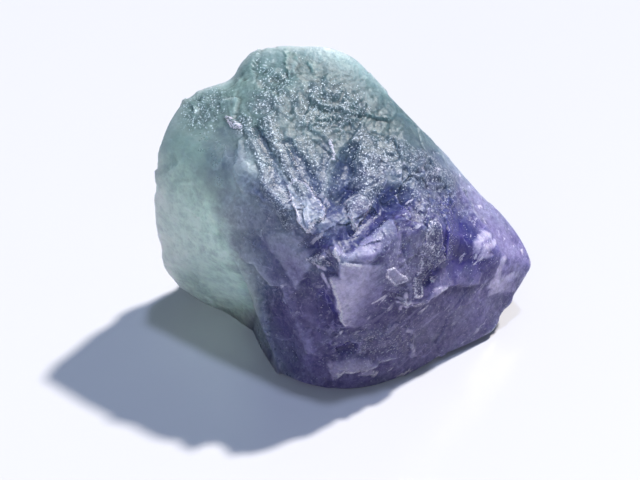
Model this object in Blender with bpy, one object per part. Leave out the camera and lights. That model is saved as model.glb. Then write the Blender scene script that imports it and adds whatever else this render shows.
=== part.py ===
"""A rough chunk of fluorite, broken off a bigger mass: one closed solid, flat underneath.

The form is worked out along rays from a point inside the stone, its heart.  Each ray first
meets the hull of the stone's corner points, less one notch at the front left.  That distance
is then raised or lowered by ridges, grooves, hollows, cleavage plates and ledges, which are
drawn at real size on two leaning sheets, and by lumps and flat chips all over.  The underside
is then cut off flat.

+X points to the low right tip, +Y to the back and +Z up.  The origin is the middle of the
base.  The tables are in millimetres and the mesh is in metres.
"""

from dataclasses import dataclass
from math import cos, radians, sin

import bmesh
import bpy
import numpy as np

MM = 0.001
NAME = "fluorite_chunk"
COLLECTION = "rough_fluorite_chunk"

HEART = np.array([-0.5, -0.5, 11.0])
MIDDLE_OF_BASE = np.array([-0.01, -0.16, 0.0])  # of the tables' frame; becomes the origin
EDGE_SHARPNESS = 110      # higher makes crisper edges between the hull's faces
GRID_CUTS = 63            # cuts along each edge of the cube that the ball is made from
KEPT_SHARE = 0.185        # share of the triangles that is left after thinning flat places
SINK = 2.0                # how far the middle of the underside goes below the flat cut
SINK_FROM, SINK_TO = 0.60, 0.80   # steepness of the downward rays that sink

# Corner points of the stone, going round the top, the sides, the foot and the back.
CORNERS = {
    "shoulder_outer": (-19.1, 1.0, 26.0),
    "shoulder_middle": (-18.0, 3.2, 27.2),
    "shoulder_inner": (-15.7, 5.0, 28.2),
    "crest_left": (-11.1, 7.7, 30.0),
    "crest_left_top": (-9.0, 8.5, 30.6),
    "crest_right_top": (-2.2, 9.0, 30.6),
    "crest_right": (0.9, 8.6, 29.2),
    "slope_high": (6.1, 5.5, 25.0),
    "slope_middle": (11.2, 4.7, 18.6),
    "slope_low": (16.4, 4.2, 12.6),
    "tip_top": (19.9, 2.9, 8.5),
    "tip": (21.1, 0.9, 6.4),
    "tip_under": (18.9, -1.4, 3.2),
    "right_foot": (17.2, -4.0, 0.8),
    "left_high": (-20.0, 0.0, 24.0),
    "left_bulge": (-21.0, -0.6, 20.5),
    "left_waist": (-20.9, 2.2, 13.0),
    "left_low": (-20.5, 2.0, 4.5),
    "left_heel": (-19.8, 1.7, 2.2),
    "left_foot": (-16.0, 0.4, 0.0),
    "front_left_foot": (-9.3, -4.0, 0.0),
    "prow_foot": (-5.0, -12.3, 0.5),
    "prow_foot_right": (0.0, -12.8, 0.3),
    "front_right_foot": (6.2, -10.7, 0.2),
    "right_front_foot": (13.2, -6.5, 0.2),
    "rim_left": (-10.0, -7.0, 25.0),
    "rim_middle": (-4.2, -12.0, 20.0),
    "rim_prow": (-0.3, -14.0, 19.5),
    "rim_right": (2.9, -13.3, 19.0),
    "rim_far_right": (8.4, -8.3, 19.5),
    "back_left_high": (-14.5, 8.0, 24.0),
    "back_left_low": (-13.5, 10.0, 10.0),
    "back_high": (-0.5, 12.5, 22.0),
    "back_low": (1.5, 14.0, 8.0),
    "back_right_high": (12.5, 9.5, 12.0),
    "back_right_low": (17.5, 7.0, 4.0),
    "base_left": (-13.5, 9.0, 0.0),
    "base_back": (2.5, 12.0, 0.0),
    "base_right": (15.0, 6.0, 0.0),
}

# A notch over the foot at the front left, where the low wall runs into the prow.  What lies
# beyond both planes is left out.  Each row is a plane's outward direction and its offset.
NOTCH = np.array([
    [-0.511, -0.860, -0.42, 6.50],    # over the foot of the wall
    [-0.967, -0.254, -0.30, 9.30],    # over the foot of the prow's left side
])


@dataclass(frozen=True)
class Sheet:
    """A flat sheet that a side's relief is drawn on, seen square on from outside."""

    azimuth: float
    elevation: float
    fade_from: float
    fade_to: float

    @property
    def outward(self):
        level = cos(radians(self.elevation))
        turn = radians(self.azimuth)
        return np.array([sin(turn) * level, -cos(turn) * level, sin(radians(self.elevation))])

    @property
    def right(self):
        turn = radians(self.azimuth)
        return np.array([cos(turn), sin(turn), 0.0])

    @property
    def up(self):
        return np.cross(self.outward, self.right)

    def points(self, places):
        """Each place dropped square onto the sheet: right and up, in millimetres."""
        return np.stack([places @ self.right, places @ self.up], axis=1)

    def strength(self, rays):
        """1 for rays that face the sheet, and 0 for those that point away from it."""
        return smooth(self.fade_from, self.fade_to, rays @ self.outward)


FRONT = Sheet(azimuth=0, elevation=38, fade_from=-0.30, fade_to=-0.05)
BACK = Sheet(azimuth=180, elevation=20, fade_from=0.10, fade_to=0.40)

# name: (sheet, centre line, half width, height); a groove's height is below zero
RIDGES = {
    "first_frosted_band": (
        FRONT, [(-10.8, 21.8), (-10.1, 19.9), (-8.8, 16.1), (-7.3, 12.5), (-5.9, 10.2)], 0.8, 0.9),
    "second_frosted_band": (
        FRONT, [(-8.9, 21.8), (-8.0, 19.9), (-6.7, 17.7), (-5.7, 15.4), (-4.4, 13.3)], 1.0, 1.2),
    "third_frosted_band": (FRONT, [(-5.1, 19.7), (-4.0, 17.8), (-2.4, 14.0)], 1.3, 0.8),
    "middle_ridge": (FRONT, [(0.6, 19.6), (2.2, 17.9), (2.6, 15.5), (1.3, 12.7)], 1.8, 0.7),
    "right_ribs": (FRONT, [(5.1, 17.9), (8.1, 17.2), (10.9, 15.1)], 1.0, 0.4),
    "groove_between_bands": (
        FRONT, [(-9.9, 20.7), (-8.6, 18.2), (-7.4, 15.6), (-6.5, 12.5)], 0.8, -0.8),
    "groove_right_of_bands": (
        FRONT, [(-6.6, 19.2), (-5.1, 16.9), (-3.7, 14.2), (-3.0, 12.1)], 0.9, -1.1),
    "groove_by_third_band": (FRONT, [(-1.8, 18.9), (-2.2, 16.2), (-3.0, 13.8)], 0.6, -0.6),
    "slanting_valley": (FRONT, [(-1.2, 7.4), (1.1, 9.0), (3.4, 11.1), (5.8, 13.0)], 1.5, -1.3),
    "valley_by_middle_ridge": (FRONT, [(0.8, 18.9), (-0.1, 16.2), (-1.1, 13.4)], 1.0, -0.7),
    "pit_above_prow_foot": (FRONT, [(-1.2, -3.2), (0.6, -2.8)], 0.8, -0.9),
    "nick_in_left_bulge": (FRONT, [(-20.2, 16.8), (-18.7, 17.8)], 0.6, -0.6),
    "back_rib": (BACK, [(-3.0, 3.0), (-1.0, 8.0), (-2.0, 14.0)], 1.6, 0.8),
    "back_groove": (BACK, [(-2.0, 20.0), (2.0, 14.0), (3.0, 9.0)], 1.0, -0.8),
}

# name: (sheet, centre, direction of the long axis, half length, half width, depth)
HOLLOWS = {
    "bay_under_crest": (FRONT, (0.1, 15.9), (0.3, 1.0), 2.6, 1.2, 0.7),
    "dark_bay": (FRONT, (-0.7, 13.1), (0.8, 0.6), 2.2, 1.1, 1.0),
    "bay_right_of_middle": (FRONT, (4.0, 12.3), (0.6, 0.8), 2.4, 1.4, 1.1),
    "bay_under_bands": (FRONT, (-3.0, 8.4), (1.0, 0.2), 2.4, 1.2, 0.9),
    "side_of_prow": (FRONT, (-3.0, 3.7), (0.2, 1.0), 3.4, 1.5, 0.9),
    "right_wall_bay": (FRONT, (12.0, 6.0), (0.5, 0.9), 2.8, 1.4, 0.7),
    "right_shoulder_bay": (FRONT, (12.4, 10.0), (0.2, 1.0), 2.4, 1.4, 0.5),
    "small_pocket": (FRONT, (6.0, 7.8), (0.3, 1.0), 1.2, 0.8, 0.8),
    "beside_boot_flake": (FRONT, (8.8, 4.8), (0.7, 0.7), 1.8, 0.9, 0.6),
    "notch_under_tip": (FRONT, (17.4, -0.1), (0.7, 0.7), 1.6, 1.0, 0.3),
    "notch_by_shoulder": (FRONT, (-13.1, 26.1), (0.9, 0.5), 2.2, 1.4, 0.75),
    "notch_in_left_side": (FRONT, (-20.2, 7.7), (0.2, 1.0), 1.2, 1.4, 0.55),
    "front_left_scoop": (FRONT, (-6.9, -2.9), (0.5, -0.9), 3.4, 1.4, 0.8),
    "back_shell_scar": (BACK, (4.0, 8.0), (1.0, 0.4), 6.0, 3.5, 1.3),
    "back_foot_scar": (BACK, (-9.0, 3.0), (1.0, -0.3), 4.0, 2.5, 0.9),
}

# name: (sheet, outline, height in the middle, rise per millimetre right and up the sheet)
PLATES = {
    "first_tooth": (
        FRONT,
        [(-6.3, 13.7), (-5.1, 11.3), (-4.7, 10.2), (-4.1, 9.3), (-2.3, 10.8), (-2.3, 12.0),
         (-4.3, 14.3), (-5.4, 14.6)],
        0.7, (0.05, -0.20)),
    "second_tooth": (
        FRONT, [(0.0, 12.5), (0.5, 10.4), (1.0, 9.5), (2.2, 11.5), (2.4, 12.5), (1.3, 13.3)],
        0.7, (0.0, -0.22)),
    "upper_cleavage_ledge": (
        FRONT,
        [(-1.5, 8.1), (-1.0, 6.9), (-0.6, 6.2), (2.0, 5.5), (2.8, 6.6), (5.2, 8.9), (4.2, 10.4),
         (1.8, 8.4), (0.5, 7.4), (-0.3, 7.2), (-0.8, 7.9)],
        0.6, (0.0, 0.05)),
    "great_cleavage_face": (
        FRONT,
        [(-1.4, 4.8), (-0.9, 1.6), (-0.2, -0.2), (1.4, -0.5), (3.0, 1.1), (3.9, 4.8), (3.6, 6.1),
         (1.8, 5.7), (-0.6, 6.1), (-0.5, 4.5)],
        0.6, (-0.12, 0.0)),
    "square_flake": (
        FRONT, [(4.2, 5.5), (5.1, 5.7), (6.2, 4.3), (4.7, 4.1), (4.3, 4.7)], 0.5, (0.0, 0.0)),
    "boot_flake": (
        FRONT,
        [(8.9, 10.6), (9.6, 8.6), (10.0, 6.7), (7.7, 4.4), (7.8, 2.9), (6.9, 2.9), (6.8, 3.7),
         (7.3, 4.7), (7.6, 7.4), (8.4, 9.6)],
        0.6, (0.05, 0.0)),
    "pale_flake": (
        FRONT,
        [(-8.1, 8.7), (-6.6, 9.3), (-4.8, 8.9), (-3.9, 7.4), (-3.8, 5.8), (-5.1, 3.7),
         (-6.5, 6.1), (-7.4, 7.4)],
        0.5, (0.06, -0.06)),
    "prow_foot_flake": (
        FRONT,
        [(-1.7, -6.5), (-1.2, -5.6), (1.3, -4.7), (0.6, -4.0), (-0.7, -3.8), (-2.2, -4.8),
         (-2.6, -5.8)],
        0.5, (0.0, 0.0)),
    "crest_flake": (
        FRONT, [(-9.0, 28.6), (-6.6, 28.8), (-6.4, 26.3), (-7.5, 25.8), (-9.0, 27.0)],
        0.35, (0.0, 0.0)),
    "back_plate": (
        BACK, [(8.0, 12.0), (13.0, 13.0), (14.0, 18.0), (10.0, 20.0), (7.0, 17.0)],
        0.6, (0.03, 0.03)),
}

# name: (sheet, edge line, height on the left hand going along it, how far it runs out)
LEDGES = {
    "edge_of_left_wall": (
        FRONT,
        [(-10.8, 19.5), (-11.6, 16.1), (-11.0, 13.6), (-8.1, 12.3), (-6.6, 10.2)], 0.6, 2.2),
    "rim_of_back_slope": (
        FRONT, [(10.0, 18.2), (12.0, 15.2), (13.6, 12.8), (17.6, 6.0)], -0.35, 2.0),
    "crest_step": (FRONT, [(-6.2, 28.9), (-6.1, 27.7), (-6.4, 26.2)], -0.4, 2.0),
    "cloudy_ledge": (
        FRONT,
        [(-11.5, 6.5), (-9.7, 6.1), (-8.5, 4.7), (-6.7, 3.3), (-4.9, -0.6), (-3.7, -3.3)],
        0.7, 2.5),
    "crease_of_right_wall": (
        FRONT, [(5.6, 1.8), (7.8, 2.1), (10.0, 3.0), (12.3, 3.8), (14.5, 3.7)], 0.5, 2.2),
    "front_foot_ledge": (FRONT, [(-1.2, -5.1), (1.5, -4.7), (5.6, -4.2)], 0.6, 1.6),
    "front_left_ledge": (FRONT, [(-9.0, 1.7), (-8.4, -1.9), (-6.8, -6.0)], -0.5, 1.8),
    "edge_of_bumpy_field": (FRONT, [(5.7, 17.7), (5.6, 15.2), (5.7, 12.6), (6.3, 10.3)], -0.5, 2.0),
    "brow_of_bay": (FRONT, [(-4.9, 21.0), (-1.8, 19.1), (-0.2, 20.8), (1.7, 21.3)], 0.4, 2.0),
    "edge_of_clear_zone": (FRONT, [(10.0, 12.7), (10.3, 9.4), (10.0, 6.1)], 0.4, 1.8),
    "back_long_ledge": (
        BACK, [(-12.0, 4.0), (-6.0, 9.0), (1.0, 12.0), (8.0, 18.0), (12.0, 23.0)], 0.9, 4.0),
    "back_low_ledge": (BACK, [(16.0, 4.0), (10.0, 6.0), (4.0, 3.0)], 0.7, 3.0),
}
LEDGE_SLOPE = 0.25        # how wide a ledge's or a plate's steep edge is, in millimetres

# outline on the front sheet of the rough, splintery field between the smooth walls
ROUGH_FIELD = [
    (-17.7, 23.8), (-12.9, 25.4), (-9.0, 27.7), (-4.9, 26.0), (-0.7, 23.8), (5.2, 20.7),
    (10.2, 16.5), (13.6, 12.8), (12.4, 9.5), (11.1, 6.1), (6.7, 2.1), (3.9, 4.3), (-1.8, 6.1),
    (-4.8, 8.4), (-8.2, 10.3), (-10.2, 13.6), (-10.6, 17.7), (-12.7, 20.1), (-16.5, 20.5)]
BACK_ROUGHNESS = 0.6

LUMP_SIZE, LUMP_HEIGHT = 9.0, 0.35
BIG_CHIP_SIZE, BIG_CHIP_TILT = 4.2, 0.16
SMALL_CHIP_SIZE, SMALL_CHIP_TILT = 1.7, 0.26

COLOUR = (0.17, 0.19, 0.36, 1.0)
ROUGHNESS = 0.28


def smooth(low, high, value):
    """0 below low, 1 above high, and an S-shaped rise between."""
    share = np.clip((value - low) / (high - low), 0.0, 1.0)
    return share * share * (3.0 - 2.0 * share)


def scatter(i, j, k, seed):
    """A repeatable number from 0 to 1 for each cell (i, j, k) of a lattice."""
    mixed = (i * 73856093) ^ (j * 19349663) ^ (k * 83492791) ^ (seed * 2654435761)
    mixed &= 0xFFFFFFFF
    mixed = ((mixed ^ (mixed >> 15)) * 2246822519) & 0xFFFFFFFF
    mixed = ((mixed ^ (mixed >> 13)) * 3266489917) & 0xFFFFFFFF
    mixed ^= mixed >> 16
    return (mixed & 0xFFFFFF) / float(0x1000000)


def lumps(places, size, seed):
    """Soft lumps from -1 to 1: lattice values blended smoothly inside each cell."""
    cell = np.floor(places / size).astype(np.int64)
    inner = places / size - cell
    inner = inner * inner * (3.0 - 2.0 * inner)
    total = np.zeros(len(places))
    for corner in np.ndindex(2, 2, 2):
        weight = np.prod(np.where(corner, inner, 1.0 - inner), axis=1)
        total += weight * scatter(*(cell + corner).T, seed)
    return total * 2.0 - 1.0


def chips(places, size, seed, tilt):
    """Flat tilted chips: each place takes the height of its nearest cell's own plane."""
    cell = np.floor(places / size).astype(np.int64)
    nearest = np.full(len(places), np.inf)
    height = np.zeros(len(places))
    for step in np.ndindex(3, 3, 3):
        corner = (cell + step - 1).T
        centre = np.stack([row + scatter(*corner, seed + n) for n, row in enumerate(corner)], 1)
        lean = np.stack([scatter(*corner, seed + n) for n in (3, 4, 5)], 1) * 2.0 - 1.0
        offset = places / size - centre
        plane = (offset * lean).sum(1) * tilt + (scatter(*corner, seed + 6) - 0.5) * tilt
        distance = (offset * offset).sum(1)
        closer = distance < nearest
        height = np.where(closer, plane, height)
        nearest = np.where(closer, distance, nearest)
    return height * size


def to_segment(points, start, end):
    """Distance to a straight piece, side (left is above zero) and share of the way along."""
    run = end - start
    share = np.clip((points - start) @ run / (run @ run), 0.0, 1.0)
    gap = points - start - share[:, None] * run
    side = run[0] * (points[:, 1] - start[1]) - run[1] * (points[:, 0] - start[0])
    return np.hypot(*gap.T), side, share


def to_line(points, line):
    """Distance to a line of straight pieces, its side and the share of its length passed."""
    line = np.array(line)
    lengths = np.hypot(*np.diff(line, axis=0).T)
    passed = np.concatenate([[0.0], np.cumsum(lengths)])
    distance = np.full(len(points), np.inf)
    side = np.zeros(len(points))
    way = np.zeros(len(points))
    for index, length in enumerate(lengths):
        gap, left, share = to_segment(points, line[index], line[index + 1])
        closer = gap < distance
        distance = np.where(closer, gap, distance)
        side = np.where(closer, np.sign(left), side)
        way = np.where(closer, (passed[index] + share * length) / passed[-1], way)
    return distance, side, way


def depth_inside(points, outline):
    """Distance to a closed outline, above zero inside it."""
    outline = np.array(outline)
    distance = np.full(len(points), np.inf)
    crossed = np.zeros(len(points), bool)
    for start, end in zip(outline, np.roll(outline, -1, axis=0)):
        gap, side, _ = to_segment(points, start, end)
        distance = np.minimum(distance, gap)
        upward = (start[1] <= points[:, 1]) & (points[:, 1] < end[1])
        downward = (end[1] <= points[:, 1]) & (points[:, 1] < start[1])
        crossed ^= (upward & (side > 0)) | (downward & (side < 0))
    return np.where(crossed, distance, -distance)


def hull_planes():
    """Outward normal and distance from the heart of each face of the corners' hull."""
    hull = bmesh.new()
    for corner in CORNERS.values():
        hull.verts.new(np.array(corner) - HEART)
    bmesh.ops.convex_hull(hull, input=hull.verts)
    bmesh.ops.recalc_face_normals(hull, faces=hull.faces)
    normals = np.array([face.normal[:] for face in hull.faces])
    touching = np.array([face.verts[0].co[:] for face in hull.faces])
    hull.free()
    return normals, (normals * touching).sum(1)


def hull_distance(rays):
    """How far each ray goes to the hull less its notch, with the edges rounded a little."""
    normals, distances = hull_planes()
    nearness = np.clip(rays @ normals.T, 0.0, None) / distances
    cut = (rays @ NOTCH[:, :3].T) / (NOTCH[:, 3] - NOTCH[:, :3] @ HEART)
    nearness = np.column_stack([nearness, np.clip(cut.min(axis=1), 0.0, None)])
    nearest = nearness.max(axis=1)
    share = nearness / nearest[:, None]
    return 1.0 / (nearest * (share ** EDGE_SHARPNESS).sum(1) ** (1.0 / EDGE_SHARPNESS))


def drawn_relief(places, rays):
    """Height of everything that is drawn on the two sheets."""
    waver = np.stack([lumps(places, 1.6, seed) for seed in (501, 502)], axis=1) * 0.22
    height = np.zeros(len(places))
    for sheet, line, half_width, rise in RIDGES.values():
        distance, _, way = to_line(sheet.points(places) + waver, line)
        crest = np.clip(1.0 - (distance / half_width) ** 2, 0.0, 1.0)
        height += sheet.strength(rays) * rise * crest * smooth(0.0, 0.08, way)
    for sheet, centre, axis, half_length, half_width, depth in HOLLOWS.values():
        long_way = np.array(axis) / np.hypot(*axis)
        cross_way = np.array([-long_way[1], long_way[0]])
        offset = sheet.points(places) - centre
        reach = ((offset @ long_way) / half_length) ** 2 + ((offset @ cross_way) / half_width) ** 2
        height -= sheet.strength(rays) * depth * np.exp(-reach)
    for sheet, outline, rise, slope in PLATES.values():
        points = sheet.points(places)
        middle = np.mean(outline, axis=0)
        edge = smooth(-LEDGE_SLOPE, LEDGE_SLOPE / 2, depth_inside(points + waver, outline))
        height += sheet.strength(rays) * edge * np.clip(rise + (points - middle) @ slope, 0.0, 1.2)
    for sheet, line, rise, reach in LEDGES.values():
        distance, side, way = to_line(sheet.points(places) + waver, line)
        edge = smooth(-LEDGE_SLOPE, LEDGE_SLOPE, distance * side * np.sign(rise))
        ends = smooth(0.0, 0.06, way) * smooth(0.0, 0.06, 1.0 - way)
        runout = np.clip(1.0 - distance / reach, 0.0, 1.0)
        height += sheet.strength(rays) * abs(rise) * edge * ends * runout
    return height


def broken_relief(places, rays):
    """Height of the lumps and chips, stronger where the stone is rough."""
    facing = FRONT.strength(rays)
    field = smooth(-1.0, 1.2, depth_inside(FRONT.points(places), ROUGH_FIELD))
    rough = facing * field + (1.0 - facing) * BACK_ROUGHNESS
    bent = places + 0.25 * np.stack([lumps(places, 1.5, seed) for seed in (61, 62, 63)], 1)
    soft = lumps(places, LUMP_SIZE, 11) + 0.5 * lumps(places + 3.7, LUMP_SIZE / 2, 28)
    big = chips(bent, BIG_CHIP_SIZE, 21, BIG_CHIP_TILT)
    small = chips(bent, SMALL_CHIP_SIZE, 31, SMALL_CHIP_TILT)
    return soft * LUMP_HEIGHT + big * (0.25 + 0.50 * rough) + small * (0.08 + 0.45 * rough)


def stone_surface(rays):
    """The point of the stone's surface on each ray, before the underside is cut flat."""
    distance = hull_distance(rays)
    places = HEART + distance[:, None] * rays
    distance += drawn_relief(places, rays) + broken_relief(places, rays)
    distance += SINK * smooth(SINK_FROM, SINK_TO, -rays[:, 2])
    return HEART - MIDDLE_OF_BASE + distance[:, None] * rays


def ball_of_rays(mesh):
    """Fill the mesh with an even ball, made from a cube of square grids."""
    ball = bmesh.new()
    bmesh.ops.create_cube(ball, size=2.0)
    bmesh.ops.subdivide_edges(ball, edges=ball.edges, cuts=GRID_CUTS, use_grid_fill=True)
    ball.to_mesh(mesh)
    ball.free()
    spots = np.empty(len(mesh.vertices) * 3)
    mesh.vertices.foreach_get("co", spots)
    spots = np.tan(spots.reshape(-1, 3) * np.pi / 4)
    return spots / np.linalg.norm(spots, axis=1, keepdims=True)


def fluorite_material():
    """Blue-violet fluorite with a waxy break."""
    material = bpy.data.materials.new("fluorite")
    material.use_nodes = True
    shader = material.node_tree.nodes["Principled BSDF"]
    shader.inputs["Base Color"].default_value = COLOUR
    shader.inputs["Roughness"].default_value = ROUGHNESS
    shader.inputs["Metallic"].default_value = 0.0
    return material


def thinned(chunk):
    """The object's mesh with its flat places thinned by a collapse decimation."""
    thinning = chunk.modifiers.new("thin_flat_places", "DECIMATE")
    thinning.ratio = KEPT_SHARE
    thinning.use_collapse_triangulate = True
    evaluated = chunk.evaluated_get(bpy.context.evaluated_depsgraph_get())
    mesh = bpy.data.meshes.new_from_object(evaluated)
    chunk.modifiers.remove(thinning)
    return mesh


def cut_flat_underneath(mesh):
    """Cut off what lies below the floor and close the cut with one flat face."""
    stone = bmesh.new()
    stone.from_mesh(mesh)
    everything = stone.verts[:] + stone.edges[:] + stone.faces[:]
    cut = bmesh.ops.bisect_plane(
        stone, geom=everything, plane_co=(0, 0, 0), plane_no=(0, 0, 1), clear_inner=True)
    rim = [item for item in cut["geom_cut"] if isinstance(item, bmesh.types.BMEdge)]
    bmesh.ops.edgeloop_fill(stone, edges=rim)
    bmesh.ops.triangulate(stone, faces=stone.faces)
    bmesh.ops.recalc_face_normals(stone, faces=stone.faces)
    stone.to_mesh(mesh)
    stone.free()


def make_chunk(collection):
    """The stone as one mesh: dense at first, thinned, and then cut flat underneath."""
    mesh = bpy.data.meshes.new(NAME)
    rays = ball_of_rays(mesh)
    mesh.vertices.foreach_set("co", (stone_surface(rays) * MM).ravel())
    mesh.update()
    mesh.materials.append(fluorite_material())
    chunk = bpy.data.objects.new(NAME, mesh)
    collection.objects.link(chunk)
    chunk.data = thinned(chunk)
    cut_flat_underneath(chunk.data)
    return chunk


def main():
    for old in list(bpy.data.objects):
        bpy.data.objects.remove(old)
    collection = bpy.data.collections.new(COLLECTION)
    bpy.context.scene.collection.children.link(collection)
    make_chunk(collection)


main()
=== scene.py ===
"""Looks of a rough fluorite chunk: the broken stone's fine surface, its finish and a studio.

The stone is one closed surface.  Every point of it is a function of two parameters on the
six square grids of a ball: the grid gives a ray out of the stone's heart, and the distance
along that ray is the hull of the stone's corner points, plus ridges, hollows, plates and
ledges drawn at real size on leaning sheets, plus lumps and flat chips at several sizes.
Tables are in millimetres in the stone's own frame; meshes are in metres.
"""

from __future__ import annotations

import logging
from dataclasses import dataclass
from enum import Enum
from math import cos, radians, sin
from typing import Iterable, Sequence

import bmesh
import bpy
import numpy as np
from mathutils import Euler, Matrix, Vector


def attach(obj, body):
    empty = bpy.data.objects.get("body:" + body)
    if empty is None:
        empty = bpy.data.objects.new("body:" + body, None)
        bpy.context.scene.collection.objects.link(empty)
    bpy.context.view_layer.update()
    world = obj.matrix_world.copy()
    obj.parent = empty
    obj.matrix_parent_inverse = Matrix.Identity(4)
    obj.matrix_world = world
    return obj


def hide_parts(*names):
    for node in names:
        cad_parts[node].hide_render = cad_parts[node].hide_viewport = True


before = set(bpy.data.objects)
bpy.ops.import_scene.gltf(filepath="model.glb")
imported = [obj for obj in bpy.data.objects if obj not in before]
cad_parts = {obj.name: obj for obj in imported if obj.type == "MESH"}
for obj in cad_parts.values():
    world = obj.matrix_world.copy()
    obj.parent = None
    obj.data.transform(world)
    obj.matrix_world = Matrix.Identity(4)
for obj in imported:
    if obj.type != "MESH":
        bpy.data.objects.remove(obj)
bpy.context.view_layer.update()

LOG = logging.getLogger("fluorite")
MM = 0.001
NODE = "fluorite_chunk"
BODY = "root"

Line = Sequence[tuple[float, float]]
Marks = dict[str, np.ndarray]


# ---------------------------------------------------------------- fields over the surface


def smooth(low: float, high: float, value: np.ndarray) -> np.ndarray:
    """S-shaped rise: 3s^2 - 2s^3 of the share s of the way from low to high.

    Args:
        low: Value at and below which the result is 0.
        high: Value at and above which the result is 1.
        value: Any array.

    Returns:
        The rise, from 0 to 1, in the shape of value.
    """
    share = np.clip((value - low) / (high - low), 0.0, 1.0)
    return share * share * (3.0 - 2.0 * share)


def scatter(i: np.ndarray, j: np.ndarray, k: np.ndarray, seed: int) -> np.ndarray:
    """Mix a lattice cell's three whole numbers into one repeatable number.

    Args:
        i: Cell numbers along X.
        j: Cell numbers along Y.
        k: Cell numbers along Z.
        seed: Picks one of many unlike fields.

    Returns:
        A number from 0 to 1 for each cell.
    """
    mixed = (i * 73856093) ^ (j * 19349663) ^ (k * 83492791) ^ (seed * 2654435761)
    mixed &= 0xFFFFFFFF
    mixed = ((mixed ^ (mixed >> 15)) * 2246822519) & 0xFFFFFFFF
    mixed = ((mixed ^ (mixed >> 13)) * 3266489917) & 0xFFFFFFFF
    mixed ^= mixed >> 16
    return (mixed & 0xFFFFFF) / float(0x1000000)


def lumps(places: np.ndarray, size: float, seed: int) -> np.ndarray:
    """Soft lumps: lattice values, blended by the S-shaped rise inside each cell.

    Args:
        places: Points, one row each, in millimetres.
        size: Edge of a lattice cell in millimetres.
        seed: Picks the field.

    Returns:
        A value from -1 to 1 for each point.
    """
    cell = np.floor(places / size).astype(np.int64)
    inner = places / size - cell
    inner = inner * inner * (3.0 - 2.0 * inner)
    total = np.zeros(len(places))
    for corner in np.ndindex(2, 2, 2):
        weight = np.prod(np.where(corner, inner, 1.0 - inner), axis=1)
        total += weight * scatter(*(cell + corner).T, seed)
    return total * 2.0 - 1.0


def waver(places: np.ndarray, size: float, seed: int, count: int) -> np.ndarray:
    """Several lump fields side by side, to bend places or drawn lines by.

    Args:
        places: Points in millimetres.
        size: Size of the lumps in millimetres.
        seed: Seed of the first field; the others follow on.
        count: How many fields.

    Returns:
        One row for each point and one column for each field, from -1 to 1.
    """
    return np.stack([lumps(places, size, seed + n) for n in range(count)], axis=1)


def chips(
    places: np.ndarray, size: float, seed: int, tilt: float
) -> tuple[np.ndarray, np.ndarray]:
    """Flat tilted chips: each point takes the plane of the nearest scattered centre.

    The plane's height is tilt times (lean . offset from the centre) plus a level of its
    own, so that neighbouring chips meet in small steps.

    Args:
        places: Points in millimetres.
        size: Usual distance between centres in millimetres.
        seed: Picks the field.
        tilt: How steep the chips lie.

    Returns:
        The height in millimetres, and one number from 0 to 1 that is the same all over a
        chip.
    """
    cell = np.floor(places / size).astype(np.int64)
    nearest = np.full(len(places), np.inf)
    height = np.zeros(len(places))
    tint = np.zeros(len(places))
    for step in np.ndindex(3, 3, 3):
        corner = (cell + step - 1).T
        centre = np.stack([row + scatter(*corner, seed + n) for n, row in enumerate(corner)], 1)
        lean = np.stack([scatter(*corner, seed + n) for n in (3, 4, 5)], 1) * 2.0 - 1.0
        level = scatter(*corner, seed + 6)
        offset = places / size - centre
        plane = (offset * lean).sum(1) * tilt + (level - 0.5) * tilt
        distance = (offset * offset).sum(1)
        closer = distance < nearest
        height = np.where(closer, plane, height)
        tint = np.where(closer, level, tint)
        nearest = np.where(closer, distance, nearest)
    return height * size, tint


def to_segment(
    points: np.ndarray, start: np.ndarray, end: np.ndarray
) -> tuple[np.ndarray, np.ndarray, np.ndarray]:
    """Measure points of a sheet from one straight piece of a line.

    Args:
        points: Points on a sheet.
        start: Where the piece starts.
        end: Where the piece ends.

    Returns:
        The distance, the side (above zero on the left) and the share of the way along.
    """
    run = end - start
    share = np.clip((points - start) @ run / (run @ run), 0.0, 1.0)
    gap = points - start - share[:, None] * run
    side = run[0] * (points[:, 1] - start[1]) - run[1] * (points[:, 0] - start[0])
    return np.hypot(*gap.T), side, share


def to_line(points: np.ndarray, line: Line) -> tuple[np.ndarray, np.ndarray, np.ndarray]:
    """Measure points of a sheet from a line of straight pieces.

    Args:
        points: Points on a sheet.
        line: The line's corners.

    Returns:
        The distance, the side (1 on the left, -1 on the right) and the share of the
        line's length passed.
    """
    corners = np.array(line)
    lengths = np.hypot(*np.diff(corners, axis=0).T)
    passed = np.concatenate([[0.0], np.cumsum(lengths)])
    distance = np.full(len(points), np.inf)
    side = np.zeros(len(points))
    way = np.zeros(len(points))
    for index, length in enumerate(lengths):
        gap, left, share = to_segment(points, corners[index], corners[index + 1])
        closer = gap < distance
        distance = np.where(closer, gap, distance)
        side = np.where(closer, np.sign(left), side)
        way = np.where(closer, (passed[index] + share * length) / passed[-1], way)
    return distance, side, way


def depth_inside(points: np.ndarray, outline: Line) -> np.ndarray:
    """Distance to a closed outline, above zero inside it and below zero outside.

    Args:
        points: Points on a sheet.
        outline: The outline's corners, in either direction round.

    Returns:
        The signed distance in millimetres.
    """
    corners = np.array(outline)
    distance = np.full(len(points), np.inf)
    crossed = np.zeros(len(points), bool)
    for start, end in zip(corners, np.roll(corners, -1, axis=0)):
        gap, side, _ = to_segment(points, start, end)
        distance = np.minimum(distance, gap)
        upward = (start[1] <= points[:, 1]) & (points[:, 1] < end[1])
        downward = (end[1] <= points[:, 1]) & (points[:, 1] < start[1])
        crossed ^= (upward & (side > 0)) | (downward & (side < 0))
    return np.where(crossed, distance, -distance)


# ---------------------------------------------------------------- sheets and what is on them


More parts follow.
